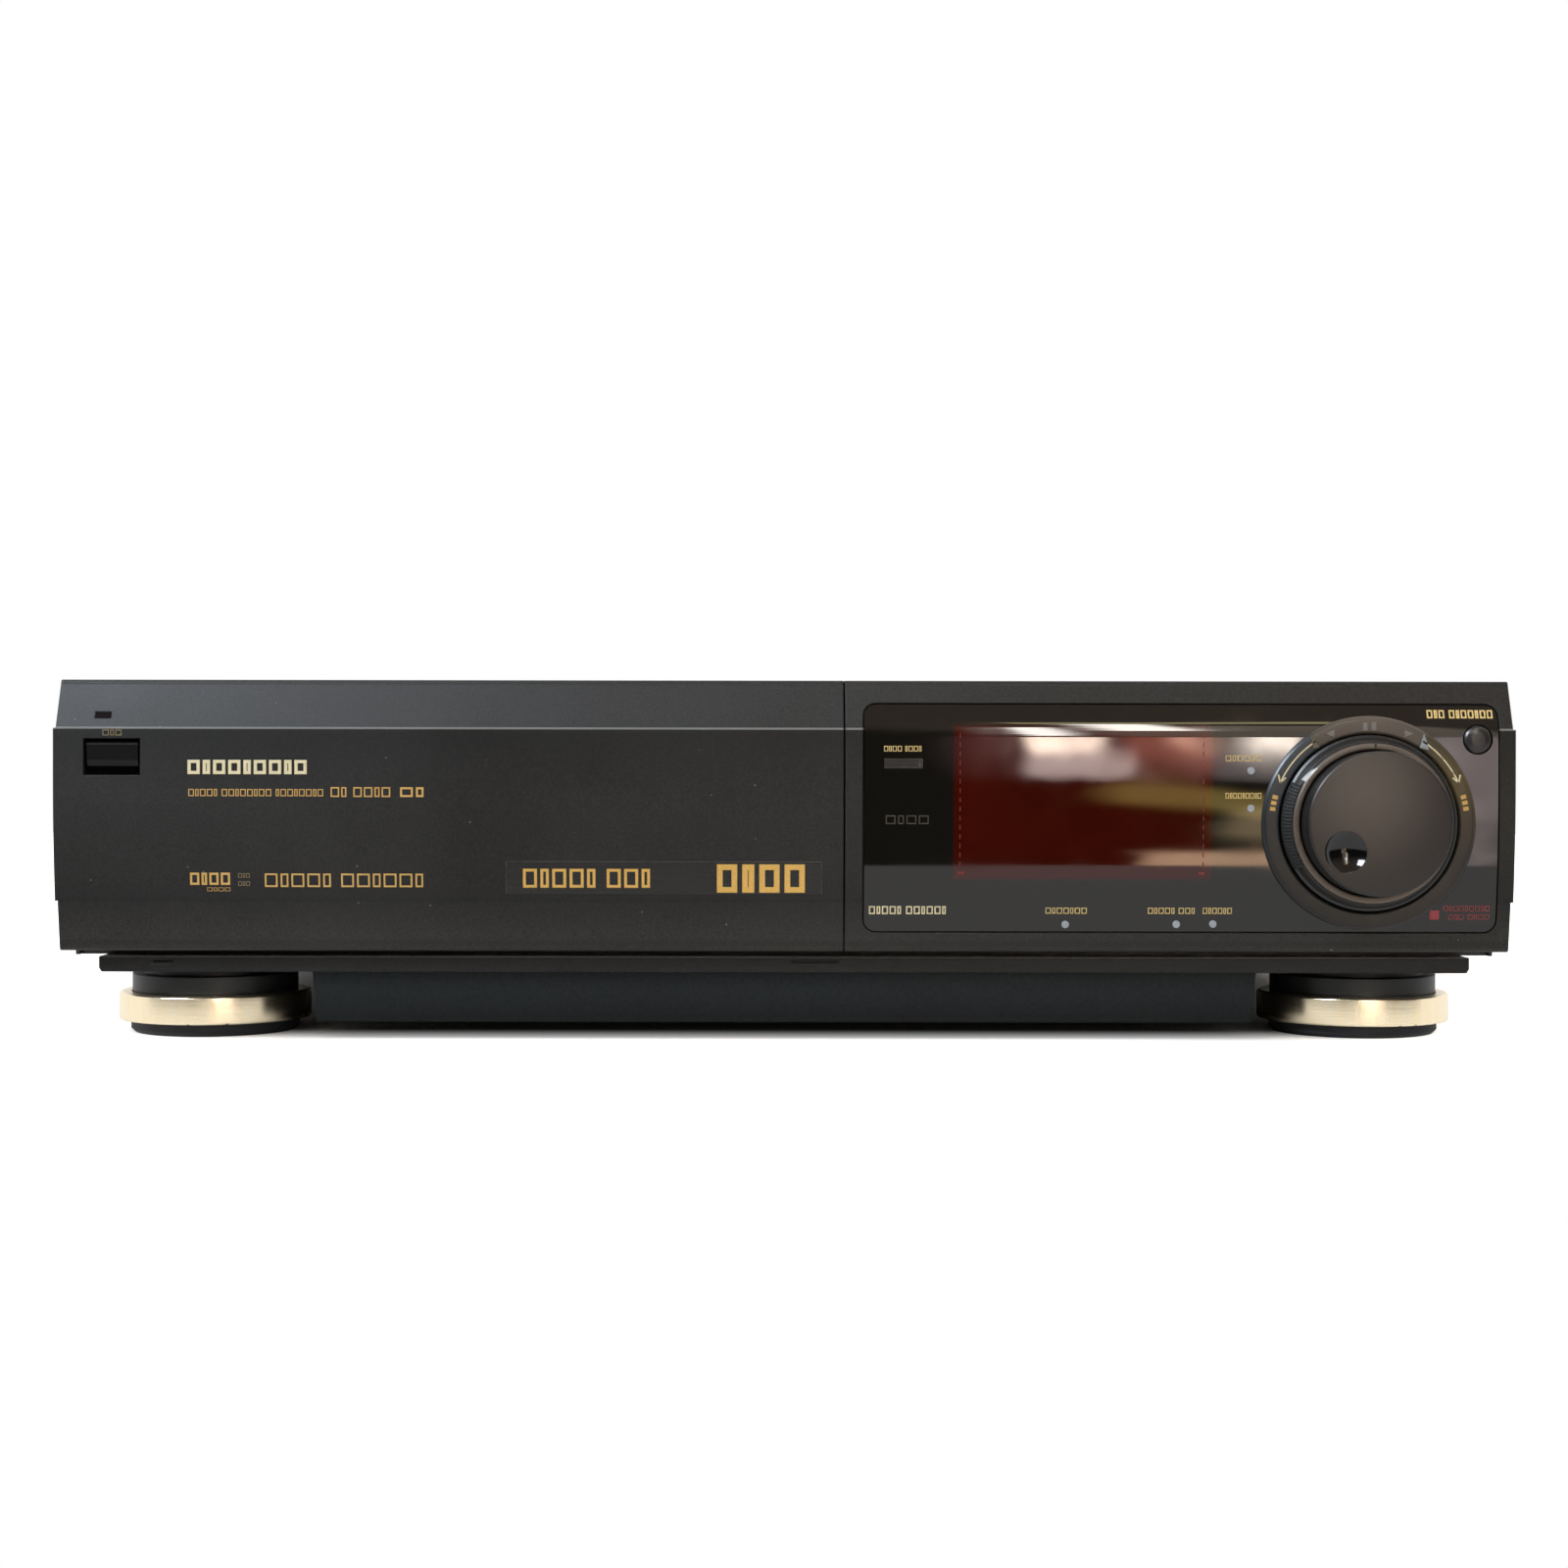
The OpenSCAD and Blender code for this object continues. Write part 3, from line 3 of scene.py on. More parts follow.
import bmesh
import bpy
import numpy as np
from mathutils.geometry import delaunay_2d_cdt
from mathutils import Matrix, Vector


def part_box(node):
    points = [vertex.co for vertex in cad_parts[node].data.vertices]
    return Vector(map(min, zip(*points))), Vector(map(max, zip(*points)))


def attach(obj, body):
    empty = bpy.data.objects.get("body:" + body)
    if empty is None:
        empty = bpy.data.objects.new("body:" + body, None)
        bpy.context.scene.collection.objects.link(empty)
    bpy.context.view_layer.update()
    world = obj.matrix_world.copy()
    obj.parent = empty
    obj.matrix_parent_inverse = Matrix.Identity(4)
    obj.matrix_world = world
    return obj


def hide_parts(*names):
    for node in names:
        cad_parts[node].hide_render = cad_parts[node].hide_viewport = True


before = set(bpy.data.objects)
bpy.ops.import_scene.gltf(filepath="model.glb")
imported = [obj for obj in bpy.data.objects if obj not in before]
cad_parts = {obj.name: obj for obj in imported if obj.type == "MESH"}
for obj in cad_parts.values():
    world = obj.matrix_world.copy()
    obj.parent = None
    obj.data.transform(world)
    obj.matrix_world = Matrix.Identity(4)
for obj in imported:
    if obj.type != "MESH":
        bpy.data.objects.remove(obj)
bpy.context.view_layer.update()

# Case frame: millimetres across from the centre, back from the face of the doors and up from
# the underside of the case, as the part is drawn. to_frame() turns such points into metres, and
# case_z is the height of that underside above the table.
scene = bpy.context.scene
face_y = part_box("left_door")[0].y
base_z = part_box("front_plinth")[0].z
case_z = base_z * 1000


def to_frame(x, y, z):
    """Points in the case frame as rows of x, y and z in metres in the part's own frame"""
    x, y, z = np.broadcast_arrays(x, y, z)
    return np.stack([x, y, z], -1).reshape(-1, 3) * 0.001 + (0, face_y, base_z)


# Camera: low in front of the recorder, level, a little above its middle, with a lens of about
# 54 mm, so the front fills the width and the feet show their rings from slightly above.
view = bpy.data.cameras.new("front_camera")
view.lens = 54.09
view.sensor_width = 36
camera = bpy.data.objects.new("front_camera", view)
camera.location = (-0.00123, face_y - 0.6924, 0.0783)
camera.rotation_euler = (math.radians(90) - 0.0028, -0.0015, -0.0015)
scene.collection.objects.link(camera)
scene.camera = camera
scene.view_settings.view_transform = "Standard"


def linear(code):
    """An sRGB hex colour as linear red, green, blue and alpha, by the standard's curve"""
    part = np.array([int(code[i:i + 2], 16) for i in (0, 2, 4)]) / 255
    return (*np.where(part < 0.04045, part / 12.92, ((part + 0.055) / 1.055) ** 2.4).tolist(), 1.0)


def add(tree, kind, **settings):
    """One shader node. A setting is a property of it, or a socket: i0 and i1 count sockets, any other
    name is the socket's own with _ for a space. A socket takes a value, a hex colour, an output of
    another node, or another node, which stands for its first output."""
    node = tree.nodes.new("ShaderNode" + kind)
    for name, value in settings.items():
        if name in node.bl_rna.properties:
            setattr(node, name, value)
            continue
        counted = name[0] == "i" and name[1:].isdigit()
        socket = node.inputs[int(name[1:]) if counted else name.replace("_", " ")]
        if isinstance(value, str):
            value = linear(value)
        if isinstance(value, bpy.types.Node):
            value = value.outputs[0]
        if isinstance(value, bpy.types.NodeSocket):
            tree.links.new(value, socket)
        else:
            socket.default_value = value
    return node


def spread(tree, value, low, high, start=0.0, end=1.0, kind="LINEAR"):
    """A node that maps a value from low and high to start and end, and keeps it between those"""
    return add(tree, "MapRange", interpolation_type=kind, Value=value, From_Min=low, From_Max=high,
        To_Min=start, To_Max=end)


# Room: a white table top that ends 27 cm in front of the doors, white all round for what looks at
# it, and a dim light, cool from above and warm from below, for what is only lit by it.
world = bpy.data.worlds.new("studio")
world.use_nodes = True
scene.world = world
air = world.node_tree
air.nodes.clear()
path = add(air, "LightPath")
seen = add(air, "Math", operation="MAXIMUM", i0=path.outputs["Is Camera Ray"],
    i1=path.outputs["Is Glossy Ray"])
seen = add(air, "Math", operation="MAXIMUM", i0=seen, i1=path.outputs["Is Transmission Ray"])
toward = add(air, "SeparateXYZ", Vector=add(air, "TexCoord").outputs["Generated"])
height = spread(air, toward.outputs["Z"], -0.3, 0.8)
ambient = add(air, "MixRGB", Fac=height, Color1="8d8b87", Color2="c9d2d8")
sky = add(air, "MixRGB", Fac=seen, Color1=ambient, Color2="ffffff")
lit = add(air, "Background", Color=sky, Strength=1.0)
add(air, "OutputWorld", Surface=lit)


def new_finish(name):
    """An empty material, with its node tree and its Object coordinates"""
    made = bpy.data.materials.new(name)
    made.use_nodes = True
    tree = made.node_tree
    tree.nodes.clear()
    return made, tree, add(tree, "TexCoord").outputs["Object"]


def make_piece(name, points, faces, finish, body, sharp=35):
    """A mesh from points in metres and faces, which are split into triangles where they differ in
    count. Doubles are merged, faces turned outwards and edges under the sharp angle shaded smooth.
    It rides on the body, or is part of the stage without one."""
    mesh = bpy.data.meshes.new(name)
    mesh.from_pydata(np.asarray(points).reshape(-1, 3).tolist(), [], [tuple(f) for f in faces])
    work = bmesh.new()
    work.from_mesh(mesh)
    if len({len(f) for f in faces}) > 1:
        bmesh.ops.triangulate(work, faces=work.faces)
    bmesh.ops.remove_doubles(work, verts=work.verts, dist=2e-6)
    bmesh.ops.dissolve_degenerate(work, edges=work.edges, dist=1e-7)
    if body:
        bmesh.ops.recalc_face_normals(work, faces=work.faces)
    work.to_mesh(mesh)
    work.free()
    mesh.polygons.foreach_set("use_smooth", np.ones(len(mesh.polygons), bool))
    mesh.set_sharp_from_angle(angle=math.radians(sharp))
    mesh.materials.append(finish)
    piece = bpy.data.objects.new(name, mesh)
    scene.collection.objects.link(piece)
    if body:
        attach(piece, body)
    return piece


def grid_faces(rows, columns, wrap=False):
    """Quads between neighbouring points of a grid; wrap joins its last column to its first"""
    i, j = np.meshgrid(np.arange(rows - 1), np.arange(columns if wrap else columns - 1), indexing="ij")
    k = (j + 1) % columns
    low, high = i * columns, (i + 1) * columns
    return np.stack([low + j, low + k, high + k, high + j], -1).reshape(-1, 4)


paper, tree, spot = new_finish("white_paper")
path = add(tree, "LightPath")
fibre = add(tree, "TexNoise", Vector=spot, Scale=900.0)
dye = add(tree, "MixRGB", Fac=fibre, Color1="efe6dd", Color2="f8f0e8")
matt = add(tree, "BsdfDiffuse", Color=dye)
# Under the recorder the paper stays dark, in a place that widens towards the back: as it is seen only its own
# light shows there, and as it is mirrored it is painted black, a painted shadow. From the edge of that place
# outwards it gets lighter than its own light makes it, up to plain white, both as it is seen and as it is
# mirrored.
middle_y = face_y + 0.2175
plan = add(tree, "VectorMath", operation="SUBTRACT", i0=spot, i1=(0.0, middle_y, 0.0))
plan = add(tree, "VectorMath", operation="ABSOLUTE", i0=plan)
behind = add(tree, "SeparateXYZ", Vector=spot)
reach = spread(tree, behind.outputs["Y"], face_y, face_y + 0.27, 0.145, 0.23)
half = add(tree, "CombineXYZ", X=reach, Y=0.1625)
plan = add(tree, "VectorMath", operation="SUBTRACT", i0=plan, i1=half)
plan = add(tree, "VectorMath", operation="MAXIMUM", i0=plan)
gap = add(tree, "VectorMath", operation="LENGTH", i0=plan).outputs["Value"]
near = spread(tree, gap, 0.015, 0.06, 0.0, 0.75, "SMOOTHSTEP")
far = spread(tree, gap, 0.1, 0.5, 0.0, 0.25)
away = add(tree, "Math", operation="ADD", i0=near, i1=far)
shown = add(tree, "Math", operation="MULTIPLY", i0=away, i1=path.outputs["Is Camera Ray"])
lift = add(tree, "Emission", Color="ffffff", Strength=shown)
both = add(tree, "AddShader", i0=matt, i1=lift)
bright = spread(tree, gap, 0.02, 0.07, kind="SMOOTHSTEP")
painted_mirror_floor = add(tree, "Emission", Color="ffffff", Strength=bright)
mixed = add(tree, "MixShader", Fac=path.outputs["Is Glossy Ray"], i1=both, i2=painted_mirror_floor)
add(tree, "OutputMaterial", Surface=mixed)
table = [(x, y, 0) for x in (-2.2, 2.2) for y in (face_y - 0.27, 2.4)]
make_piece("table_top", table, [(0, 2, 3, 1)], paper, None)

# Screen behind the camera: the dark end of the room with a window and pale walls in it, which the
# glossy inlay mirrors. It is a part of a ball, and places on it are degrees to the right and up.
screen_r = 1.9
screen_mid = np.array([0.10, face_y, 0.06])
screen_grid = 61, 43
turn, rise = np.meshgrid(np.linspace(-75, 75, screen_grid[0]), np.linspace(-30, 74, screen_grid[1]),
    indexing="ij")
a, b = np.radians(turn), np.radians(rise)
shell = screen_mid + screen_r * np.stack([np.sin(a) * np.cos(b), -np.cos(a) * np.cos(b), np.sin(b)], -1)
backdrop, tree, spot = new_finish("dim_room")
centred = add(tree, "VectorMath", operation="SUBTRACT", i0=spot, i1=tuple(screen_mid))
axis = add(tree, "SeparateXYZ", Vector=centred)
front = add(tree, "Math", operation="MULTIPLY", i0=axis.outputs["Y"], i1=-1.0)
tangent = add(tree, "Math", operation="ARCTAN2", i0=axis.outputs["X"], i1=front)
slant = add(tree, "Math", operation="DIVIDE", i0=axis.outputs["Z"], i1=screen_r)
lifted = add(tree, "Math", operation="ARCSINE", i0=slant)
bearing = add(tree, "CombineXYZ", X=tangent, Y=lifted)
degrees = add(tree, "VectorMath", operation="SCALE", i0=bearing, Scale=180 / math.pi)
# A slow noise moves each place by up to this many degrees, and by half as many on average
sway = (1.6, 0.9, 0.0)
wave = add(tree, "TexNoise", Vector=degrees, Scale=0.45)
wobble = add(tree, "VectorMath", operation="MULTIPLY_ADD", i0=wave.outputs["Color"], i1=sway,
    i2=degrees)
high = add(tree, "SeparateXYZ", Vector=degrees)
ceiling = spread(tree, high.outputs["Y"], 14.0, 34.0)
glow = add(tree, "MixRGB", Fac=ceiling, Color1="1a1a1b", Color2="b09a8c")
# Each patch is a turned rectangle with blurred edges: from and to in degrees right, from and to in
# degrees up, its lean, the blur of its edges in degrees, its colour and its strength
patches = [
    (5.0, 6.6, 4.5, 30.0, 0, 0.4, "fffaf2", 28.0),
    (8.3, 11.4, 20.0, 39.0, 0, 0.7, "fffaf0", 26.0),
    (5.8, 20.5, 39.5, 43.6, 0, 0.4, "fff5b6", 4.6),
    (5.0, 7.7, 1.5, 2.1, -2, 0.22, "ffe4cf", 36.0),
    (4.9, 8.6, 0.55, 1.5, -3, 0.35, "cbb5b0", 16.5),
    (2.6, 4.8, 0.9, 3.0, 0, 0.8, "b08c90", 1.6),
    (8.0, 21.0, 3.2, 34.0, 0, 0.8, "dccfba", 2.4),
    (8.4, 11.4, 0.9, 2.3, -8, 0.5, "d08070", 7.0),
    (9.8, 11.6, 1.5, 2.1, -10, 0.35, "ffc9ae", 12.0),
    (12.3, 14.0, 1.4, 2.5, -4, 0.35, "ffeede", 30.0),
    (11.4, 19.0, 0.4, 1.6, 0, 0.4, "b8adae", 5.0),
    (7.6, 14.5, -3.6, -0.9, -22, 0.9, "a08a4c", 8.5),
    (11.8, 15.0, -7.6, -3.4, -6, 0.9, "b39c78", 7.5),
    (9.0, 16.0, -11.6, -9.0, 5, 0.6, "e0b795", 11.5),
    (17.8, 24.0, -4.5, 3.0, 0, 1.0, "a89a99", 9.0),
    (17.8, 24.0, -11.0, -4.5, 0, 1.0, "a89a99", 5.0),
    (19.3, 20.0, -11.0, -2.0, 3, 0.5, "e0cfc8", 2.2),
]
for right0, right1, up0, up1, lean, blur, tint, power in patches:
    half_wide, half_tall = (right1 - right0) / 2, (up1 - up0) / 2
    local = add(tree, "Mapping", vector_type="TEXTURE", Vector=wobble,
        Rotation=(0, 0, math.radians(lean)),
        Location=((right0 + right1 + sway[0]) / 2, (up0 + up1 + sway[1]) / 2, 0))
    split = add(tree, "VectorMath", operation="ABSOLUTE", i0=local)
    split = add(tree, "SeparateXYZ", Vector=split)
    wide = spread(tree, split.outputs["X"], half_wide - blur, half_wide + blur, power, 0.0, "SMOOTHSTEP")
    tall = spread(tree, split.outputs["Y"], half_tall - blur, half_tall + blur, 1.0, 0.0, "SMOOTHSTEP")
    inside = add(tree, "Math", operation="MULTIPLY", i0=wide, i1=tall)
    shade = add(tree, "VectorMath", operation="SCALE", i0=linear(tint)[:3], Scale=inside)
    glow = add(tree, "VectorMath", operation="ADD", i0=glow, i1=shade)
light = add(tree, "Emission", Color=glow, Strength=1.0)
add(tree, "OutputMaterial", Surface=light)
screen = make_piece("room_screen", shell, grid_faces(*screen_grid), backdrop, None)
screen.visible_camera = False
screen.visible_diffuse = False
screen.visible_shadow = False


# Soft boxes: a broad cool one above on the left, a smaller warm one on the right and a wide one
# behind the recorder. A fourth on the left shows in reflections only, which makes the sloping band
# along the top lighter than the face.
def lamp(name, place, aim, wide, tall, watts, tint):
    """A rectangular soft box at place, turned to aim, with its width and height in metres"""
    data = bpy.data.lights.new(name, "AREA")
    data.shape = "RECTANGLE"
    data.size = wide
    data.size_y = tall
    data.energy = watts
    data.color = linear(tint)[:3]
    made = bpy.data.objects.new(name, data)
    made.location = place
    away = np.array(place) - np.array(aim)
    made.rotation_euler = (math.atan2(np.hypot(away[0], away[1]), away[2]), 0, math.atan2(away[0], -away[1]))
    scene.collection.objects.link(made)
    return made


for box in (("cool_box", (-0.9, -0.7, 1.5), (-0.1, 0, 0.05), 1.0, 0.8, 15.0, "dfeaff"),
        ("warm_box", (1.1, -0.6, 1.3), (0.1, 0, 0.05), 0.7, 0.7, 10.0, "ffe6cc"),
        ("rear_box", (0.2, 1.5, 1.3), (0, 0.1, 0.05), 1.4, 0.7, 12.0, "ffffff")):
    lamp(*box).visible_glossy = False
lamp("window_light", (-1.0, -1.0, 1.1), (-0.15, -0.19, 0.1), 0.7, 0.6, 58.0, "dde8f5").visible_diffuse = False


# Doors and plinth: black ABS, moulded with a fine spark-eroded grain that breaks up the light,
# a little uneven in tone after years of cleaning, with single pale specks of dust.
def moulded(name, dark, light, rough, grain=0.6, bump=0.02, edge=0.3, **more):
    """A finish for a moulded, cast or coated surface: dark and light mix by a noise of the grain's
    size in millimetres, which also raises it by bump millimetres; edges look rounded by edge
    millimetres. Returns the material, its tree, its coordinates, the mixed colour and the shader."""
    made, tree, spot = new_finish(name)
    fine = add(tree, "TexNoise", Vector=spot, Scale=1000 / grain)
    broad = add(tree, "TexNoise", Vector=spot, Scale=17.0, Detail=3.0)
    blend = add(tree, "Mix", i0=0.35, i2=fine, i3=broad)
    share = spread(tree, blend, 0.3, 0.7)
    tone = add(tree, "MixRGB", Fac=share, Color1=dark, Color2=light)
    soft = add(tree, "Bevel", samples=4, Radius=edge / 1000)
    raised = add(tree, "Bump", Strength=0.6, Distance=bump / 1000, Height=fine, Normal=soft)
    varied = spread(tree, broad, 0.35, 0.65, rough * 0.9, min(rough * 1.1, 1.0))
    shader = add(tree, "BsdfPrincipled", Base_Color=tone, Roughness=varied, Normal=raised, **more)
    add(tree, "OutputMaterial", Surface=shader)
    return made, tree, spot, tone, shader


def dress(finish, *nodes):
    """Gives CAD nodes this finish all over"""
    for node in nodes:
        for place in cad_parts[node].material_slots:
            place.material = finish


def tint_by(tree, value, stops):
    """A node that picks the colour for a value from stops, each a place from 0 to 1 and its colour"""
    node = add(tree, "ValToRGB", Fac=value)
    while len(node.color_ramp.elements) < len(stops):
        node.color_ramp.elements.new(0.5)
    for element, (place, tint) in zip(node.color_ramp.elements, stops):
        element.position = place
        element.color = linear(tint)
    return node


def recolour(shader, node):
    """Gives a shader the colour that another node makes"""
    shader.id_data.links.new(node.outputs[0], shader.inputs["Base Color"])


spark_abs, tree, spot, tone, shader = moulded("spark_grained_abs", "211f1d", "403e39", 0.5, grain=0.7,
    bump=0.03, edge=0.5, Specular_IOR_Level=0.27)
cells = add(tree, "TexVoronoi", Vector=spot, Scale=240.0)
lucky = add(tree, "SeparateColor", Color=cells.outputs["Color"])
small = add(tree, "Math", operation="LESS_THAN", i0=cells, i1=0.06)
few = add(tree, "Math", operation="GREATER_THAN", i0=lucky, i1=0.8)
speck = add(tree, "Math", operation="MULTIPLY", i0=small, i1=few)
dusty = add(tree, "MixRGB", Fac=speck, Color1=tone, Color2="96958c")
# By height, painted light and shade: the plinth is painted darker, the lip lighter than the face with a
# painted highlight along its lower edge, a painted shade line lies along the lower crease, and the belly is
# painted darker up to the upper crease, which carries a thin painted highlight
height = add(tree, "SeparateXYZ", Vector=spot)
level = spread(tree, height.outputs["Z"], 0.0268, 0.1072)
varied = tint_by(tree, level, [(0.0, "8c8c8c"), (0.004, "fafafa"), (0.014, "d0d0d0"),
    (0.03, "b4b4b4"), (0.05, "d8d8d8"), (0.134, "b6b6b6"), (0.18, "a0a0a0"), (0.186, "808080"),
    (0.2, "949494"), (0.3, "a8a8a8"), (0.55, "b0b0b0"), (0.8, "7e7e7e"), (0.83, "b4b4b4"), (1.0, "bababa")])
shaded = add(tree, "MixRGB", blend_type="MULTIPLY", Fac=1.0, Color1=dusty, Color2=varied)
painted_crease_highlight = add(tree, "Math", operation="COMPARE", i0=height.outputs["Z"], i1=0.0926, i2=0.0003)
shaded = add(tree, "MixRGB", Fac=painted_crease_highlight, Color1=shaded, Color2="7c7e79")
# The ledge of the plinth under the doors is painted pale: painted light where the doors shade it
painted_ledge_light = add(tree, "Math", operation="COMPARE", i0=height.outputs["Z"], i1=0.0248, i2=0.0001)
shaded = add(tree, "MixRGB", Fac=painted_ledge_light, Color1=shaded, Color2="b0aea6")
recolour(shader, shaded)
dress(spark_abs, "left_door", "right_door", "front_plinth")

# Inlay: one sheet of smoked acrylic, 1.5 mm thick and bent with the face of the right door. It is
# glossy and near black, and clear red in front of the display. It stands for panel and window.
crease, belly, lower = 72.4, 57.8, 21.4
bend_half = 2.2
inlay_proud, inlay_thick = 0.03, 1.5


def face_at(z):
    """How far back the face of the doors lies at height z: a slope of 2 in 13 along the lip, then two
    millimetres taken back by a parabola up to the belly, and above the crease a slope of 5.8 in 14.4"""
    z = np.asarray(z, float)
    lip = 2 + (lower - z) * 2 / 13
    lean = 2 * (np.clip(belly - z, 0, None) / (belly - lower)) ** 2
    return np.where(z < lower, lip, lean + np.clip(z - crease, 0, None) * 5.8 / 14.4)


def sheet_at(z):
    """The same face as the bent sheet follows it: with the crease rounded over by a parabola and a
    flatter lip"""
    z = np.asarray(z, float)
    near = np.clip(z - crease, -bend_half, bend_half)
    over = np.where(z > crease + bend_half, z - crease, (near + bend_half) ** 2 / 4 / bend_half)
    lean = 2 * (np.clip(belly - z, 0, None) / (belly - lower)) ** 2
    lip = np.clip(lower - z, 0, None) * 0.06
    return over * 5.8 / 14.4 + lean + lip


def inlay_front(z):
    """The front of the sheet, which stands a little proud of that face"""
    return sheet_at(z) - inlay_proud


def ring_of(x, z, r, count):
    """Points of a circle about x and z, as columns of x and z"""
    a = np.linspace(0, 2 * np.pi, count, endpoint=False)
    return np.stack([x + r * np.cos(a), z + r * np.sin(a)], -1)


def round_box(x0, x1, z0, z1, r, count=10):
    """Outline of a rectangle with round corners, anticlockwise, as columns of x and z"""
    a = np.linspace(0, np.pi / 2, count)
    corners = [(x1 - r, z1 - r, 0), (x0 + r, z1 - r, 1), (x0 + r, z0 + r, 2), (x1 - r, z0 + r, 3)]
    turns = [(x, z, a + k * np.pi / 2) for x, z, k in corners]
    return np.concatenate([np.stack([x + r * np.cos(b), z + r * np.sin(b)], -1) for x, z, b in turns])


def even(outline, step):
    """The same closed outline with points put in, so that none of its sides is longer than the step"""
    ends = np.roll(outline, -1, 0)
    counts = np.ceil(np.linalg.norm(ends - outline, axis=1) / step).astype(int)
    return np.concatenate([p + (q - p) * np.arange(n)[:, None] / n
        for p, q, n in zip(outline, ends, np.maximum(counts, 1))])


def covers(outline, points):
    """Which points lie inside an outline, by how often a line to the right of each one crosses it"""
    p, q = outline, np.roll(outline, -1, 0)
    x, z = points[:, :1], points[:, 1:]
    spans = (p[:, 1] > z) != (q[:, 1] > z)
    rise = np.where(q[:, 1] == p[:, 1], 1.0, q[:, 1] - p[:, 1])
    return (spans & (x < p[:, 0] + (z - p[:, 1]) / rise * (q[:, 0] - p[:, 0]))).sum(1) % 2 == 1


def within(edge, holes, points):
    """Which points lie inside the edge and outside every hole"""
    return covers(edge, points) & ~np.any([covers(hole, points) for hole in holes], 0)


def cut_sheet(edge, holes, inner):
    """Points and triangles of a flat sheet inside the edge and around the holes: the constrained
    Delaunay triangulation of their points and the inner ones, without what lies in a hole"""
    loops = [edge, *holes]
    starts = np.cumsum([0] + [len(loop) for loop in loops])
    sides = [(a + i, a + (i + 1) % (b - a)) for a, b in zip(starts[:-1], starts[1:]) for i in range(b - a)]
    made = delaunay_2d_cdt(np.concatenate([*loops, inner]).tolist(), sides, [], 0, 1e-5)
    flat, tris = np.array([tuple(p) for p in made[0]]), np.array(made[2])
    return flat, tris[within(edge, holes, flat[tris].mean(1))]


dial_x, dial_z = 171.7, 44.9
lamps = [(82.9, 14.8), (115.7, 14.9), (126.5, 15.0), (137.1, 60.3), (137.1, 49.2)]
edge = even(round_box(23.45, 209.85, 12.75, 79.65, 3.4), 3.0)
holes = [ring_of(x, z, 1.15, 20) for x, z in lamps]
holes += [ring_of(203.8, 69.5, 4.45, 48), ring_of(dial_x, dial_z, 28.5, 120)]
holes += [round_box(28.9, 41.0, 60.5, 64.0, 0.4, 4)]
rows = np.concatenate([np.arange(13.2, 70, 2.1), crease + bend_half * np.linspace(-1.1, 1.1, 13),
    [75, 77, 79]])
field = np.stack(np.meshgrid(np.arange(24.5, 209.5, 2.4), rows, indexing="ij"), -1).reshape(-1, 2)
flat, tris = cut_sheet(edge, holes, field[within(edge, holes, field)])
sides = np.sort(tris[:, [0, 1, 1, 2, 2, 0]].reshape(-1, 2), 1)
sides, uses = np.unique(sides, axis=0, return_counts=True)
open_sides = sides[uses == 1]
count = len(flat)
skin = inlay_front(flat[:, 1])
points = np.concatenate([to_frame(flat[:, 0], y, flat[:, 1]) for y in (skin, skin + inlay_thick)])
walls = np.concatenate([open_sides, open_sides[:, ::-1] + count], 1)
mesh = bpy.data.meshes.new("smoked_inlay")
mesh.from_pydata(points.tolist(), [], tris.tolist() + (tris[:, ::-1] + count).tolist() + walls.tolist())
work = bmesh.new()
work.from_mesh(mesh)
bmesh.ops.recalc_face_normals(work, faces=work.faces)
work.to_mesh(mesh)
work.free()
# Its two broad sides are shaded by the slope of the bent face itself, its rims by their own facets
slope = (sheet_at(flat[:, 1] + 0.01) - sheet_at(flat[:, 1] - 0.01)) / 0.02
front = np.stack([np.zeros(count), -np.ones(count), slope], -1)
front /= np.linalg.norm(front, axis=1, keepdims=True)
corner = np.empty(len(mesh.loops), int)
mesh.loops.foreach_get("vertex_index", corner)
facing = np.empty(len(mesh.polygons) * 3, float)
mesh.polygons.foreach_get("normal", facing)
sizes = np.empty(len(mesh.polygons), int)
mesh.polygons.foreach_get("loop_total", sizes)
facing = np.repeat(facing.reshape(-1, 3), sizes, 0)
exact = np.concatenate([front, -front])[corner]
broadside = np.abs((facing * exact).sum(1)) > 0.8
mesh.polygons.foreach_set("use_smooth", np.ones(len(mesh.polygons), bool))
mesh.normals_split_custom_set(np.where(broadside[:, None], exact, facing).tolist())

smoked, tree, spot = new_finish("smoked_acrylic")
axis = add(tree, "SeparateXYZ", Vector=spot)
# The window's sides, from and to in millimetres and the blur of their edges
spans = []
for side, low, high, soft in (("X", 49.7, 125.8, 0.6), ("Z", 28.2 + case_z, 73.6 + case_z, 0.8)):
    off = add(tree, "Math", operation="SUBTRACT", i0=axis.outputs[side], i1=(low + high) / 2000)
    off = add(tree, "Math", operation="ABSOLUTE", i0=off)
    half, soft = (high - low) / 2000, soft / 1000
    spans.append(spread(tree, off, half - soft, half + soft, 1.0, 0.0, "SMOOTHSTEP"))
window = add(tree, "Math", operation="MULTIPLY", i0=spans[0], i1=spans[1])
cloud = add(tree, "TexNoise", Vector=spot, Scale=28.0)
maroon = add(tree, "MixRGB", Fac=cloud, Color1="2c0602", Color2="4a1206")
tone = add(tree, "MixRGB", Fac=window, Color1="171511", Color2=maroon)
film = add(tree, "TexNoise", Vector=spot, Scale=55.0, Detail=4.0)
haze = spread(tree, film, 0.4, 0.75, 0.035, 0.09)
ripple = add(tree, "TexNoise", Vector=spot, Scale=9.0, Detail=0.0)
wavy = add(tree, "Bump", Strength=0.25, Distance=0.0004, Height=ripple)
shader = add(tree, "BsdfPrincipled", Base_Color=tone, Roughness=haze, IOR=1.49, Normal=wavy)
add(tree, "OutputMaterial", Surface=shader)
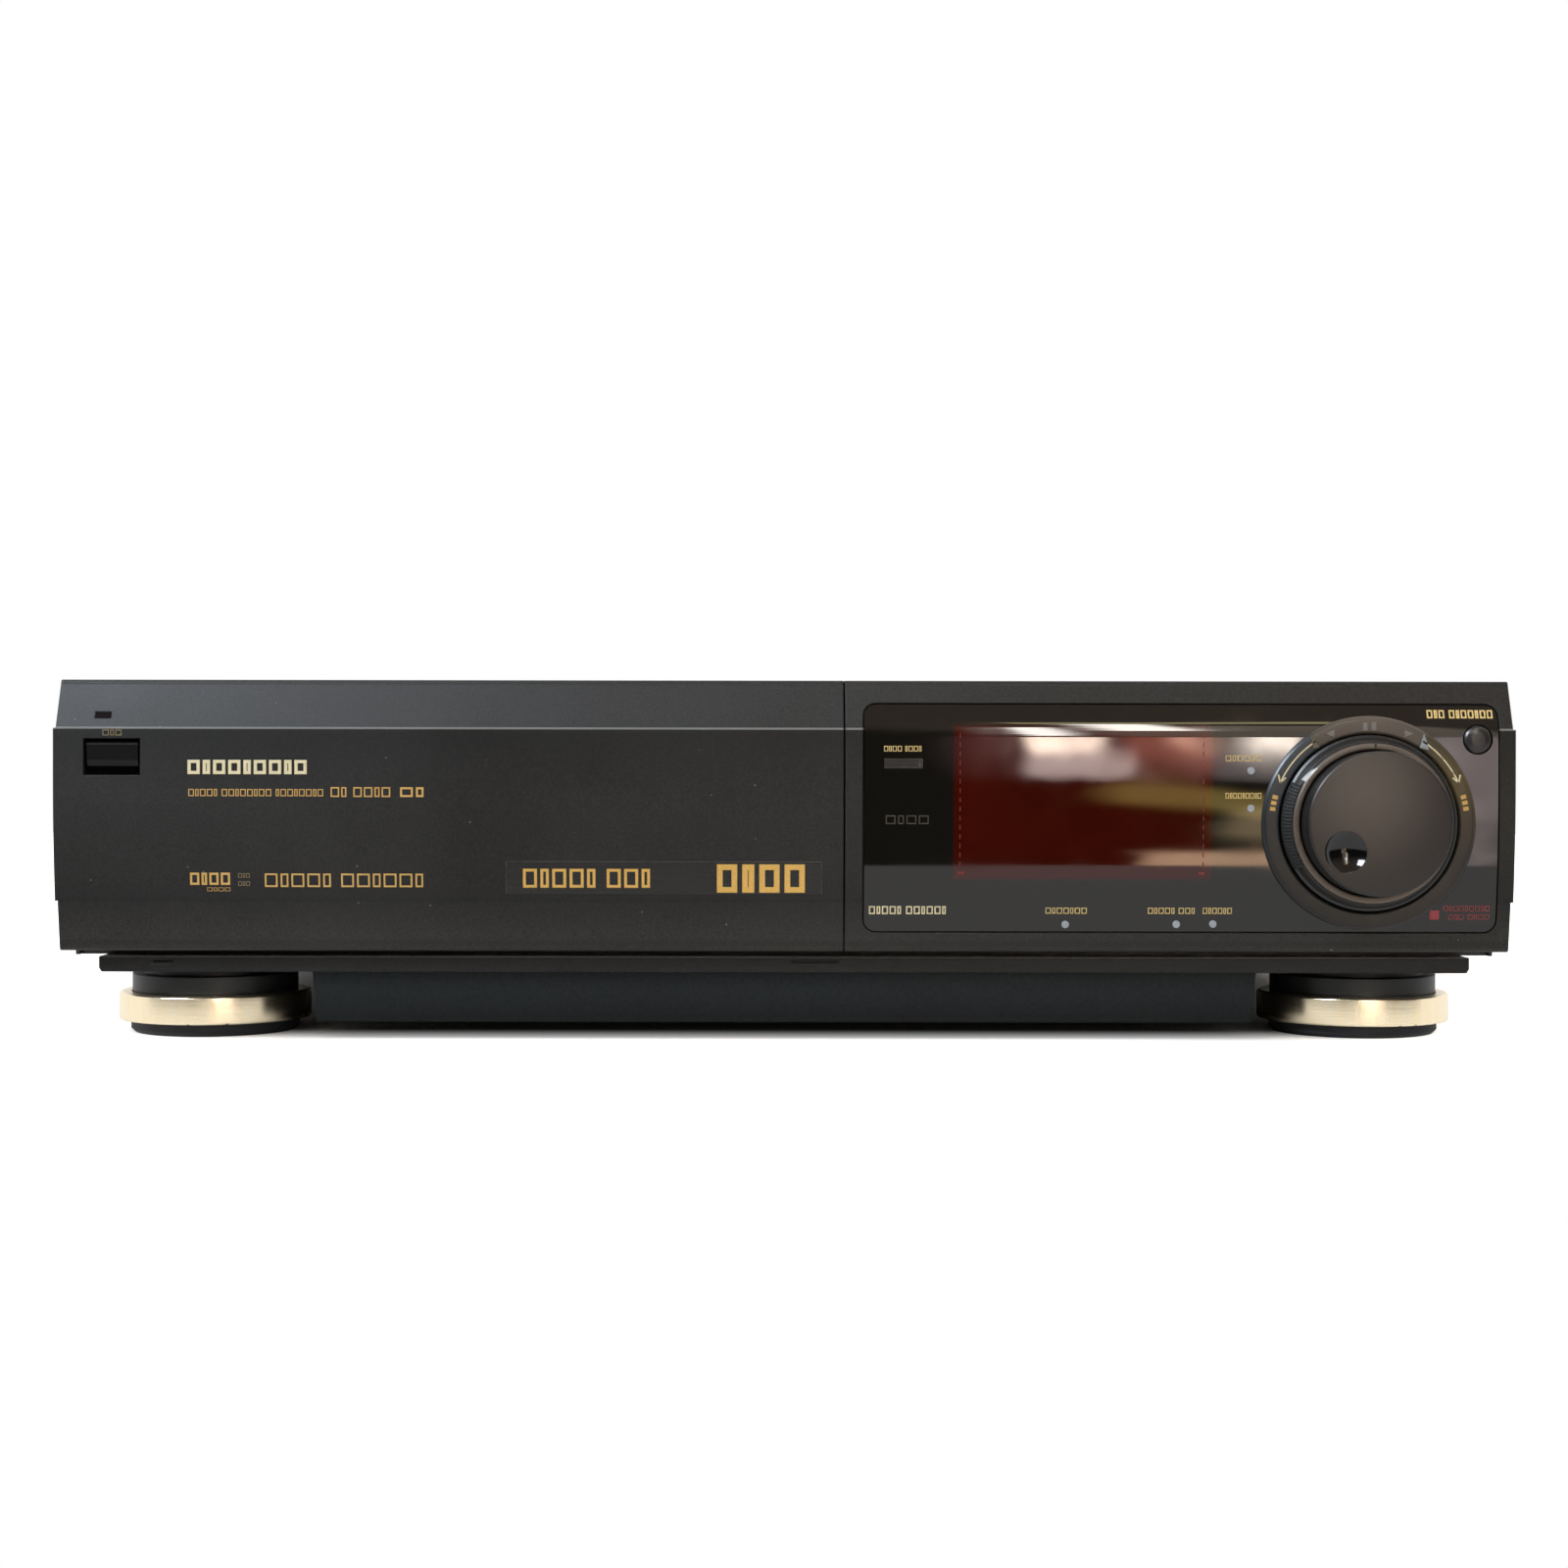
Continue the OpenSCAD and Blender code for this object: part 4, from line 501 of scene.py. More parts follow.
mesh.materials.append(smoked)
inlay = bpy.data.objects.new("smoked_inlay", mesh)
scene.collection.objects.link(inlay)
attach(inlay, "right_door")
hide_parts("smoked_panel", "display_window")

# Indicator lamps: five small round lenses of milky clear plastic in the inlay, and the slit of the
# power lamp, which is dark red and unlit. All are let in flush from behind.
dress(moulded("milky_lens", "8f98a4", "b4bac2", 0.2, grain=0.5, bump=0.005, IOR=1.49)[0], "indicator_lamps")
dress(moulded("red_lens", "0d0606", "150808", 0.8, grain=0.5, bump=0.005, edge=0.05,
    Specular_IOR_Level=0.1)[0], "power_lamp")

# Print: gold, cream, grey and red ink, screen printed in rows of small closed frames that have the
# rhythm of small type and spell nothing.
def slabs(name, finish, body, quads, depth, proud=0.04, sunk=0.06):
    """Closed plates: each quad of four corners in x and z lies proud millimetres in front of a depth,
    which is a number or a function of z, and reaches sunk millimetres behind it"""
    quads = np.asarray(quads, float).reshape(-1, 4, 2)
    x, z = quads[..., 0], quads[..., 1]
    y = (depth(z) if callable(depth) else depth) + 0 * x
    points = np.stack([to_frame(x, y + step, z).reshape(-1, 4, 3) for step in (-proud, sunk)], 1)
    one = np.array([(0, 1, 2, 3), (7, 6, 5, 4), (0, 4, 5, 1), (1, 5, 6, 2), (2, 6, 7, 3), (3, 7, 4, 0)])
    faces = (one + 8 * np.arange(len(quads))[:, None, None]).reshape(-1, 4)
    return make_piece(name, points, faces, finish, body)


def block(x0, x1, z0, z1):
    """The four corners of an upright rectangle"""
    return [(x0, z0), (x1, z0), (x1, z1), (x0, z1)]


def bars(x0, x1, z0, z1, line):
    """The four bars of a rectangular frame"""
    return [block(x0, x1, z1 - line, z1), block(x0, x1, z0, z0 + line),
        block(x0, x0 + line, z0 + line, z1 - line), block(x1 - line, x1, z0 + line, z1 - line)]


def type_row(x0, x1, z, tall, words, line=None):
    """A row of small closed frames from x0 to x1 about height z, in groups of the given counts. Every
    third frame is six tenths as wide, and a line is a seventh of the height unless it is given."""
    line = line or tall / 7
    count = sum(words)
    share = np.where(np.arange(count) % 3 == 1, 0.6, 1.0)
    gaps = np.full(count, 0.24)
    gaps[np.cumsum(words)[:-1] - 1] = 0.8
    gaps[-1] = 0
    left = np.cumsum(np.concatenate([[0], (share + gaps)[:-1]]))
    unit = (x1 - x0) / (left[-1] + share[-1])
    return [bar for a, b in zip(x0 + left * unit, x0 + (left + share) * unit)
        for bar in bars(a, b, z - tall / 2, z + tall / 2, line)]


def disc(x, z, r, count=14):
    """Quads that fill a circle, in upright strips"""
    c = np.cos(np.linspace(np.pi, 0, count + 1))
    s = np.sqrt(np.clip(1 - c * c, 0, None))
    return [[(x + r * c[i], z - r * s[i]), (x + r * c[i + 1], z - r * s[i + 1]),
        (x + r * c[i + 1], z + r * s[i + 1]), (x + r * c[i], z + r * s[i])] for i in range(count)]


def arrow(x, z, wide, tall):
    """A solid triangle about x and z that points right, or left where wide is negative"""
    return [(x - wide / 2, z - tall / 2), (x + wide / 2, z), (x + wide / 2, z), (x - wide / 2, z + tall / 2)]


def ink(name, dark, light, rough=0.5, grain=0.3):
    """A printing ink"""
    return moulded(name + "_ink", dark, light, rough, grain=grain, bump=0.004)[0]


gold_ink = ink("gold_screen", "cf9f45", "edc069", 0.45)
bright_ink = ink("bright_gold", "e6c26c", "fbe19c", 0.45)
pale_ink = ink("cream_screen", "e6d59c", "f7ecc6", 0.45)
dim_ink = ink("worn_gold", "77673c", "93804e")
grey_ink = ink("grey_screen", "77716c", "8b8580")
red_ink = ink("muted_red", "8c3238", "a33d44")
door_print = (
    ("left_door_gold_print", gold_ink, 0.04, ((-175.2, -135.6, 53.4, 2.1, (5, 8, 8), 0.28),
        (-133.4, -115.9, 53.6, 2.9, (2, 4), 0.4), (-113.0, -106.1, 53.6, 2.9, (2,), 0.6),
        (-153.0, -106.4, 27.6, 4.0, (5, 6), 0.5), (-175.0, -163.2, 28.0, 3.6, (4,), 0.65),
        (-170.0, -163.2, 24.9, 1.1, (4,)))),
    ("left_door_cream_print", pale_ink, 0.25, ((-175.4, -140.4, 60.9, 4.2, (9,), 0.95),)),
    ("left_door_dim_print", dim_ink, 0.04, ((-200.4, -194.8, 71.0, 1.7, (3,)),
        (-160.8, -157.4, 29.0, 1.3, (3,)), (-160.8, -157.4, 26.6, 1.3, (3,)))),
    ("right_door_gold_print", bright_ink, 0.04, ((77.0, 89.2, 18.9, 1.8, (7,)),
        (107.2, 121.0, 18.9, 1.8, (5, 3)), (123.4, 132.0, 18.9, 1.8, (6,)), (129.6, 140.2, 63.9, 1.7, (6,)),
        (129.6, 140.2, 52.9, 1.7, (9,)), (29.2, 40.2, 66.6, 1.6, (4, 4)),
        (189.2, 208.6, 77.0, 2.5, (3, 7), 0.45))),
    ("right_door_cream_print", pale_ink, 0.04, ((24.9, 47.6, 19.0, 2.4, (5, 6), 0.4),)),
    ("right_door_dim_print", ink("faint", "2f2b22", "3a3529", 0.4, 0.6), 0.04,
        ((29.7, 42.4, 45.7, 2.6, (4,)),)),
)
for name, finish, proud, rows in door_print:
    left = name.startswith("left_door")
    slabs(name, finish, "left_door" if left else "right_door", [b for row in rows for b in type_row(*row)],
        face_at if left else inlay_front, proud)
red_rows = [block(190.4, 193.2, 16.4, 19.2)] + type_row(194.4, 208.0, 19.7, 1.6, (9,))
red_rows += type_row(196.0, 208.0, 17.2, 1.6, (3, 4))
slabs("right_door_red_print", red_ink, "right_door", red_rows, inlay_front)
dashes = [block(x - 0.16, x + 0.16, z, z + 1.4) for x in (51.6, 123.2) for z in np.arange(32.0, 71.0, 2.7)]
dashes += [block(x - 0.9, x + 0.9, 29.6, 30.4) for x in (51.9, 122.9)]
slabs("window_edge_marks", moulded("window_red_ink", "661417", "8a2223", 0.3, bump=0.003)[0], "right_door",
    dashes, inlay_front, 0.02)

# Slots: two short hinge slots and a wider catch slot in the plinth, drawn as thin flat plates whose black is
# painted shade inside the slots.
plinth_front = 9.0
slabs("plinth_slots", moulded("painted_slot_shade", "060606", "0a0a0a", 0.8, bump=0.01)[0], "case",
    [block(-186.2, -176.1, 4.0, 4.5), block(-189.0, -183.0, 1.9, 2.6), block(2.0, 15.8, 3.1, 3.7)],
    plinth_front, 0.02)

# Sticker: a clear satin label low on the left door, with a thin pale edge along its top and sides that is a
# painted glint, and two rows of yellow print under its film.
film_black = moulded("clear_label_film", "2a2928", "31302e", 0.3, grain=0.8, bump=0.01,
    Specular_IOR_Level=0.25)[0]
slabs("sticker_film", film_black, "left_door",
    [block(-81.9, 10.9, z, z + 0.97) for z in np.arange(23.6, 33.2, 0.97)], face_at, 0.05)
slabs("sticker_edge_glint", moulded("painted_edge_glint", "33322f", "5a5851", 0.3, grain=2.5, bump=0.004)[0],
    "left_door", [block(-81.9, 10.9, 33.15, 33.35), block(-82.0, -81.8, 23.6, 33.3),
    block(10.8, 11.0, 23.6, 33.3)], face_at, 0.07)
yellow = type_row(-77.0, -39.6, 28.3, 5.6, (5, 3), 0.85) + type_row(-19.9, 6.0, 28.3, 8.4, (4,), 1.7)
slabs("sticker_print", ink("yellow_film", "dba94c", "f0c162", 0.35, 0.6), "left_door", yellow, face_at, 0.09)

# Buttons: gloss black mouldings. The power button sits deep in its cut-out, the push-open button
# carries three ribs and an end bar in grey, and the mode button is a small dome.
dress(moulded("deep_black_abs", "0f0f0f", "151514", 0.3, grain=0.5, bump=0.003, edge=0.35,
    Specular_IOR_Level=0.2)[0], "power_button")
dress(moulded("satin_black_dome", "23211f", "2b2927", 0.33, grain=0.4, bump=0.003, edge=0.5)[0],
    "jog_mode_button")
dress(moulded("gloss_black_abs", "191918", "1f1f1e", 0.22, grain=0.5, bump=0.003, edge=0.35, IOR=1.5)[0],
    "push_open_button")
button_front = -0.13
ribs = [block(29.6, 40.3, z, z + 0.32) for z in (61.0, 62.05, 63.15)] + [block(39.7, 40.3, 61.0, 63.45)]
rib_grey = moulded("pale_rib_ink", "8d8b88", "b0aeaa", 0.3, bump=0.003)[0]
slabs("push_open_ribs", rib_grey, "push_open_button", ribs, button_front, 0.02, 0.1)


# Dial: three rings about one axis. A collar printed with the two ways of winding stands round the
# sprung shuttle ring, which has a satin bezel, a ribbed grip and a pointer, and the jog dial.
def soften(profile, radius=0.3, steps=4):
    """A profile with its inner corners rounded: each is replaced by a parabola that leaves and meets
    its two sides at the radius from the corner, or at half of a shorter side"""
    p = np.asarray(profile, float)
    back, ahead = p[:-2] - p[1:-1], p[2:] - p[1:-1]
    lengths = np.linalg.norm(back, axis=1, keepdims=True), np.linalg.norm(ahead, axis=1, keepdims=True)
    a = p[1:-1] + back * np.minimum(radius / lengths[0], 0.5)
    b = p[1:-1] + ahead * np.minimum(radius / lengths[1], 0.5)
    t = np.linspace(0, 1, steps + 1)[None, :, None]
    curve = (1 - t) ** 2 * a[:, None] + 2 * t * (1 - t) * p[1:-1, None] + t ** 2 * b[:, None]
    return np.concatenate([p[:1], curve.reshape(-1, 2), p[-1:]])


def turned(name, finish, body, profile, x, z, count=160, sharp=35):
    """A profile of radius and depth, turned about the line through x and z that runs front to back"""
    r, y = np.asarray(profile, float).T[:, :, None]
    a = np.linspace(0, 2 * np.pi, count, endpoint=False)
    points = to_frame(x + r * np.cos(a), y + 0 * a, z + r * np.sin(a))
    return make_piece(name, points, grid_faces(len(profile), count, True), finish, body, sharp)


def round_band(r0, r1, a0, a1, count=24):
    """Quads of a curved band round the dial, from radius r0 to r1 and from angle a0 to a1 in degrees"""
    a = np.radians(np.linspace(a0, a1, count + 1))
    inner, outer = (np.stack([dial_x + r * np.cos(a), dial_z + r * np.sin(a)], -1) for r in (r0, r1))
    return np.stack([inner[:-1], outer[:-1], outer[1:], inner[1:]], 1).tolist()


collar_satin, tree, spot, _, shader = moulded("satin_collar_painted_reflections", "1d1d1c", "232221", 0.3, grain=0.5,
    bump=0.004, edge=0.4, Specular_IOR_Level=0.3)
axis = add(tree, "SeparateXYZ", Vector=add(tree, "VectorMath", operation="SUBTRACT", i0=spot,
    i1=(dial_x / 1000, 0, (dial_z + case_z) / 1000)).outputs[0])
bearing = add(tree, "Math", operation="ARCTAN2", i0=axis.outputs["X"], i1=axis.outputs["Z"])
around = spread(tree, bearing, -math.pi, math.pi)
# Painted reflections by angle from the bottom round over the left, top and right: grey, blue grey, brown and
# gold, as the satin collar would mirror the room
painted_reflection_sectors = tint_by(tree, around, [(0.0, "211f1c"), (0.16, "1a1a19"), (0.25, "222628"),
    (0.36, "343d43"), (0.405, "31373b"), (0.412, "554d44"), (0.5, "645a50"), (0.588, "564e46"),
    (0.595, "443d2e"), (0.68, "55492a"), (0.73, "41382a"), (0.80, "2a2723"), (1.0, "262421")])
recolour(shader, painted_reflection_sectors)
collar_front = -0.9
collar = [(26.3, 4.4), (26.3, -0.25), (26.8, collar_front), (30.6, collar_front), (31.55, -0.1),
    (31.55, 4.4), (26.3, 4.4)]
piece = turned("dial_collar_ring", collar_satin, "right_door", soften(collar, 0.3), dial_x, dial_z)
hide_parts("dial_collar")
arcs = round_band(28.5, 28.95, 123, 156) + round_band(28.5, 28.95, 57, 24)


def barb(angle, lean, length, wide=0.45):
    """A thin stroke that starts on the arc's circle at the angle and leaves in the lean's direction,
    both in degrees"""
    outwards, along = (np.array([math.cos(a), math.sin(a)]) for a in np.radians([angle, lean]))
    start = np.array([dial_x, dial_z]) + 28.72 * outwards
    side = np.array([-along[1], along[0]]) * wide / 2
    return [start - side, start + side, start + along * length + side, start + along * length - side]


arcs += [barb(156, 100, 2.6), barb(156, 45, 2.4), barb(24, 80, 2.6), barb(24, 135, 2.4)]
slabs("collar_arrows", pale_ink, "right_door", arcs, collar_front)
dots = [b for a in (163.5, 167.0, 170.5, 7.5, 11.0, 14.5) for b in round_band(27.9, 29.5, a, a + 2.3, 2)]
slabs("collar_words", gold_ink, "right_door", dots, collar_front)
marks = [arrow(dial_x - 11.6, dial_z + 26.3, -2.6, 2.2), arrow(dial_x + 11.6, dial_z + 26.3, 2.6, 2.2)]
marks += [block(dial_x + a, dial_x + a + 1.4, dial_z + 27.2, dial_z + 29.6) for a in (-1.9, 0.6)]
slabs("collar_pictograms", grey_ink, "right_door", marks, collar_front)
# Two small slabs on the collar's face: a painted highlight on the right and painted shade on the left
slabs("collar_painted_highlight", moulded("painted_highlight_facet", "7d888d", "98a3a8", 0.25, bump=0.003)[0], "right_door",
    [(186.4, 67.0), (189.2, 66.4), (187.9, 71.0), (187.6, 71.2)], collar_front)
slabs("collar_painted_shade", moulded("shaded_facet", "55513d", "625d48", 0.3, bump=0.003)[0], "right_door",
    [(155.2, 66.9), (157.2, 67.0), (154.7, 71.2), (154.4, 71.1)], collar_front)

bezel_satin = moulded("satin_bezel", "564b40", "65594c", 0.36, grain=0.5, bump=0.004)[0]
ring_black = moulded("fine_textured_black", "121110", "1c1b19", 0.42, grain=0.9, bump=0.05)[0]
bezel_front = -5.95
bezel = [(21.45, 4.2), (21.45, -5.55), (21.8, bezel_front), (22.9, bezel_front), (23.45, -5.3), (23.45, 4.2),
    (21.45, 4.2)]
piece = turned("shuttle_bezel", bezel_satin, "shuttle_ring", soften(bezel, 0.25), dial_x, dial_z)
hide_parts("shuttle_ring")
flank = [(23.3, 4.1), (23.3, -4.4), (23.9, -4.6), (25.1, -1.7), (25.9, -1.2), (25.9, 4.1), (23.3, 4.1)]
turned("shuttle_flank", ring_black, "shuttle_ring", soften(flank, 0.25), dial_x, dial_z)
slabs("shuttle_notch", ring_black, "shuttle_ring",
    [block(dial_x + 0.2, dial_x + 0.9, dial_z + 21.6, dial_z + 23.3)], bezel_front)


def curved_bar(name, finish, angles, section):
    """A bar bent round the dial's axis: section(t) gives its closed outline of radius and depth at each
    angle, t being 0 to 1 along it, and both ends close in a point"""
    t = np.linspace(0, 1, len(angles))
    outline = section(t)
    outline[[0, -1]] = outline[[0, -1]].mean(1, keepdims=True)
    a = np.radians(angles)[:, None]
    r, y = outline[..., 0], outline[..., 1]
    points = to_frame(dial_x + r * np.cos(a), y, dial_z + r * np.sin(a))
    faces = grid_faces(len(angles), outline.shape[1], True)
    return make_piece(name, points, faces, finish, "shuttle_ring", 30)


def grip_section(t):
    """The grip's outline: a hump on the flank with about one rib to the millimetre"""
    rib = 0.16 * np.sign(np.sin(2 * np.pi * 26 * t))[:, None]
    r = np.array([23.2, 23.7, 25.0, 25.75, 25.75, 24.0]) + rib * [0, 1, 1, 0.2, 0, 0]
    y = np.array([-4.6, -5.3, -3.6, -2.2, -0.8, -0.8]) - rib * [0, 1, 1, 1, 0, 0]
    return np.stack([r, y], -1)


def pointer_section(t):
    """The pointer's outline: a wedge that widens along it"""
    grow = (0.35 + 0.65 * t)[:, None]
    r = 22.7 + np.array([0, 0.5, 1.3, 1.8, 1.0]) * grow
    y = np.array([-5.8, -6.04, -5.75, -4.4, -4.2]) + 0 * grow
    return np.stack([r, y], -1)


curved_bar("shuttle_grip", moulded("ribbed_grip_rubber", "161918", "20231f", 0.5)[0],
    np.linspace(152, 212, 313), grip_section)
curved_bar("shuttle_pointer", moulded("white_pointer_gloss", "dcdcd8", "f2f2ee", 0.15, bump=0.002)[0],
    np.linspace(135, 149, 24), pointer_section)

# The jog dial's face is a flat sheet with the edge of a finger cup in it, the cup is a part of a
# ball, and its wall is turned, with the front edge rounded by a quarter circle
cup_x, cup_z, cup_r, ball_r = dial_x - 10.2, dial_z - 8.0, 6.1, 9.0
cup_rows, cup_columns, wall_columns = 12, 64, 160
jog_front, jog_rim, jog_r = -14.9, 20.2, 21.0
flat, tris = cut_sheet(ring_of(dial_x, dial_z, jog_rim, wall_columns),
    [ring_of(cup_x, cup_z, cup_r, cup_columns)], np.empty((0, 2)))
turn_r = jog_r - jog_rim
side = [(jog_r - turn_r * (1 - math.sin(a)), jog_front + turn_r * (1 - math.cos(a)))
    for a in np.linspace(0, math.pi / 2, 8)]
side = np.array(side + [(jog_r, 3.9), (3.0, 4.2), (3.0, 14.8), (0.0, 14.8)])
r, y = side.T[:, :, None]
a = np.linspace(0, 2 * np.pi, wall_columns, endpoint=False)
wall = to_frame(dial_x + r * np.cos(a), y + 0 * a, dial_z + r * np.sin(a))
dip = np.linspace(math.asin(cup_r / ball_r), 0, cup_rows)[:, None]
b = np.linspace(0, 2 * np.pi, cup_columns, endpoint=False)
sink = ball_r * (np.cos(dip) - math.cos(math.asin(cup_r / ball_r)))
bowl = to_frame(cup_x + ball_r * np.sin(dip) * np.cos(b), jog_front + sink + 0 * b,
    cup_z + ball_r * np.sin(dip) * np.sin(b))
jog_satin, tree, spot, tone, shader = moulded("satin_jog_face", "171412", "1e1b18", 0.34, grain=0.4,
    bump=0.003, Specular_IOR_Level=0.4)
# The face is painted lighter about a spot above and left of its middle: a painted highlight
radial = add(tree, "VectorMath", operation="DISTANCE", i0=spot,
    i1=((dial_x - 3) / 1000, face_y + jog_front / 1000, (dial_z + 9 + case_z) / 1000))
centre = spread(tree, radial.outputs["Value"], 0.0, 0.026, 1.0, 0.0, "SMOOTHSTEP")
warm = add(tree, "MixRGB", Fac=centre, Color1=tone, Color2="4a423b")
recolour(shader, warm)
points = np.concatenate([to_frame(flat[:, 0], jog_front, flat[:, 1]), wall])
faces = [*tris, *(grid_faces(len(side), wall_columns, True) + len(flat)),
    *(grid_faces(cup_rows, cup_columns, True) + len(points))]
piece = make_piece("jog_disc", np.concatenate([points, bowl]), faces, jog_satin, "jog_dial")
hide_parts("jog_dial")
# Its second finish is the cup's, on faces in its circle that lie behind the front, and its third is the
# wall's: the shuttle ring's black, partly the wall's own dark colour and partly painted shade in the gap
# round the face
piece.data.materials.append(moulded("gloss_finger_cup", "0b0b0a", "11100f", 0.1, grain=0.5, bump=0.002,
    IOR=1.5)[0])
piece.data.materials.append(ring_black)
centres = np.empty(len(piece.data.polygons) * 3)
piece.data.polygons.foreach_get("center", centres)
centres = centres.reshape(-1, 3) - to_frame(cup_x, jog_front, cup_z)
behind = centres[:, 1]
in_cup = (np.hypot(centres[:, 0], centres[:, 2]) < (cup_r + 0.02) / 1000) & (behind > 1e-6) & (behind < 0.003)
on_wall = ~in_cup & (behind > 0.0006)
piece.data.polygons.foreach_set("material_index", in_cup + 2 * on_wall)

# Feet: a turned and champagne anodised aluminium ring round each, with its top edge broken, on a near black
# moulded neck and a soft rubber pad. Upright streaks in the ring's colour are painted reflections, dragged
# upright as fine turning drags them, and the same streaks vary its roughness.
champagne, tree, spot = new_finish("champagne_anodised_aluminium")
stretched = add(tree, "Mapping", Vector=spot, Scale=(900, 900, 25))
upright_streaks = add(tree, "TexNoise", Vector=stretched, Scale=1.0, Detail=3.0)
tone = add(tree, "MixRGB", Fac=upright_streaks, Color1="fbe3ba", Color2="fff4d8")
chips = add(tree, "TexNoise", Vector=spot, Scale=420.0)
axis = add(tree, "SeparateXYZ", Vector=spot)
low = spread(tree, axis.outputs["Z"], 0.0039, 0.0052, 0.62, 0.82)
varied = add(tree, "Math", operation="GREATER_THAN", i0=chips, i1=low)
tone = add(tree, "MixRGB", Fac=varied, Color1=tone, Color2="4a4436")
gloss = spread(tree, upright_streaks, 0.0, 1.0, 0.2, 0.3)
flattened = add(tree, "Mapping", Vector=spot, Scale=(30, 30, 5000))
grooves = add(tree, "TexNoise", Vector=flattened, Scale=1.0)
turned_skin = add(tree, "Bump", Strength=0.35, Distance=0.00005, Height=grooves)
shader = add(tree, "BsdfPrincipled", Base_Color=tone, Metallic=1.0, Roughness=gloss,
    Normal=turned_skin)
add(tree, "OutputMaterial", Surface=shader)

feet = [(-176.5, 40.05), (176.5, 40.05), (-176.5, 337.05), (176.5, 337.05)]
ring = [(25.3, 3.95), (28.7, 3.95), (28.98, 4.3), (28.98, 11.9), (28.3, 12.48), (25.3, 12.48), (25.3, 3.95)]
r, z = soften(ring, 0.2).T[:, :, None]
a = np.linspace(0, 2 * np.pi, 160, endpoint=False)
points = [to_frame(x + r * np.cos(a), y + r * np.sin(a), z - case_z + 0 * a) for x, y in feet]
faces = grid_faces(len(r), 160, True) + len(points[0]) * np.arange(len(feet))[:, None, None]
piece = make_piece("foot_ring_metal", np.concatenate(points), faces.reshape(-1, 4), champagne, "case")
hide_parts("foot_rings")
dress(moulded("matt_neck_abs", "191a19", "232423", 0.42, edge=0.5, Specular_IOR_Level=0.35)[0],
    "foot_bodies")
dress(moulded("soft_foot_rubber", "121418", "1d1f24", 0.7, grain=0.8, bump=0.05, edge=0.6)[0], "foot_pads")

# Case: a wrap-round cover in powder-coated steel with a fine texture, a rear panel and a pan in plain black
# enamel, the pan dark also as painted shade where it shows in the gap under the doors, a bottom cover in near
# black enamel with a painted blue sheen, and cross-head screws blackened with oil.
dress(moulded("textured_powder_coat", "1b1c1d", "252627", 0.55, grain=0.9, bump=0.06, edge=0.6)[0],
    "top_cover")
dress(moulded("satin_black_enamel", "191a1b", "232425", 0.42, grain=0.7)[0], "rear_panel", "chassis_pan")
apron_enamel, tree, spot, tone, shader = moulded("black_enamel_painted_blue_sheen", "1c2022", "262b2d", 0.5, grain=0.8,
    bump=0.03, edge=0.8, Specular_IOR_Level=0.12)
# It is painted darker towards its lower edge: painted shade, where it faces the floor in its own shadow
axis = add(tree, "SeparateXYZ", Vector=spot)
shade_by_height = spread(tree, axis.outputs["Z"], 0.005, 0.014, 0.35)
painted_shade_low = add(tree, "VectorMath", operation="SCALE", i0=tone, Scale=shade_by_height)
recolour(shader, painted_shade_low)
dress(apron_enamel, "bottom_cover")
dress(moulded("matt_black_abs", "161616", "202020", 0.5, bump=0.03)[0], "front_frame", "cassette_flap",
    "supply_reel", "takeup_reel", "mains_inlet", "scart_sockets")
zinc = moulded("zinc_plated_steel", "9b9c98", "b9b9b2", 0.34, grain=3.0, bump=0.01, Metallic=1.0)[0]
dress(zinc, "hinge_pins", "cassette_carriage", "cassette_holder", "loader_frames", "deck_plate",
    "loading_motor", "dial_encoder")
dress(moulded("blackened_screw_steel", "2f2f2e", "454442", 0.35, grain=0.5, bump=0.01, Metallic=1.0)[0],
    "screws")

# Sockets: nickel and gold plated shells on the rear panel, with coloured insulators in the phono
# jacks, spring contacts in the two wide sockets and printed frames. Three jacks at the front match.
nickel = moulded("nickel_plated_shell", "a9a79f", "c6c3b9", 0.25, grain=1.5, bump=0.005, Metallic=1.0)[0]
dress(nickel, "aerial_sockets", "fixed_heads", "capstan", "supply_guide", "takeup_guide", "pinch_arm")
gold_plate = moulded("gold_plated_brass", "b28a3c", "d0a654", 0.22, grain=1.0, bump=0.005, Metallic=1.0)[0]
dress(gold_plate, "phono_sockets", "capstan_motor")
rear_back, socket_floor = 382.2, 377.0
frames = []
for x0, x1, z0, z1 in ((-173.5, -126.5, 24.5, 58.5), (-99.5, 29.5, 28.0, 54.5), (46.0, 99.0, 27.0, 55.0),
        (162.5, 197.5, 28.5, 52.5)):
    frames += bars(x0, x1, z0, z1, 0.5) + type_row(x0 + 2, x0 + 20, z1 + 2.6, 2.4, (5, 3))
white_ink = ink("white_screen", "bdbcb6", "d8d7d2")
slabs("rear_print", white_ink, "case", frames, rear_back, -0.05, -0.1)
front_ring = soften([(2.1, 10.2), (2.1, 9.3), (3.2, 9.3), (3.6, 9.6), (3.6, 10.2), (2.1, 10.2)], 0.1)
ring = soften([(2.1, 389.6), (2.1, 390.32), (3.2, 390.32), (3.5, 390.0), (3.5, 389.6), (2.1, 389.6)], 0.1)
for x, front_x, name, dark, light in ((-165, -66, "yellow", "b89a20", "d3b534"),
        (-150, -51, "white", "c9c7c0", "e2e0da"), (-135, -36, "red", "8f1c1c", "a92b29")):
    plastic = moulded(name + "_jack_insulator", dark, light, 0.4, grain=0.5, bump=0.01)[0]
    for z, row in ((32.5, "lower"), (47.5, "upper")):
        turned(name + "_insulator_" + row, plastic, "case", ring, x, z, 40)
    turned(name + "_insulator_front", plastic, "case", front_ring, front_x, 24.0, 40)
blades = [block(x - 1.0, x - 0.4, z - 1.4, z + 1.4) for c in (-70, 0)
    for x in c + 3.8 * np.arange(-4, 6) for z in (37.6, 41.9)]
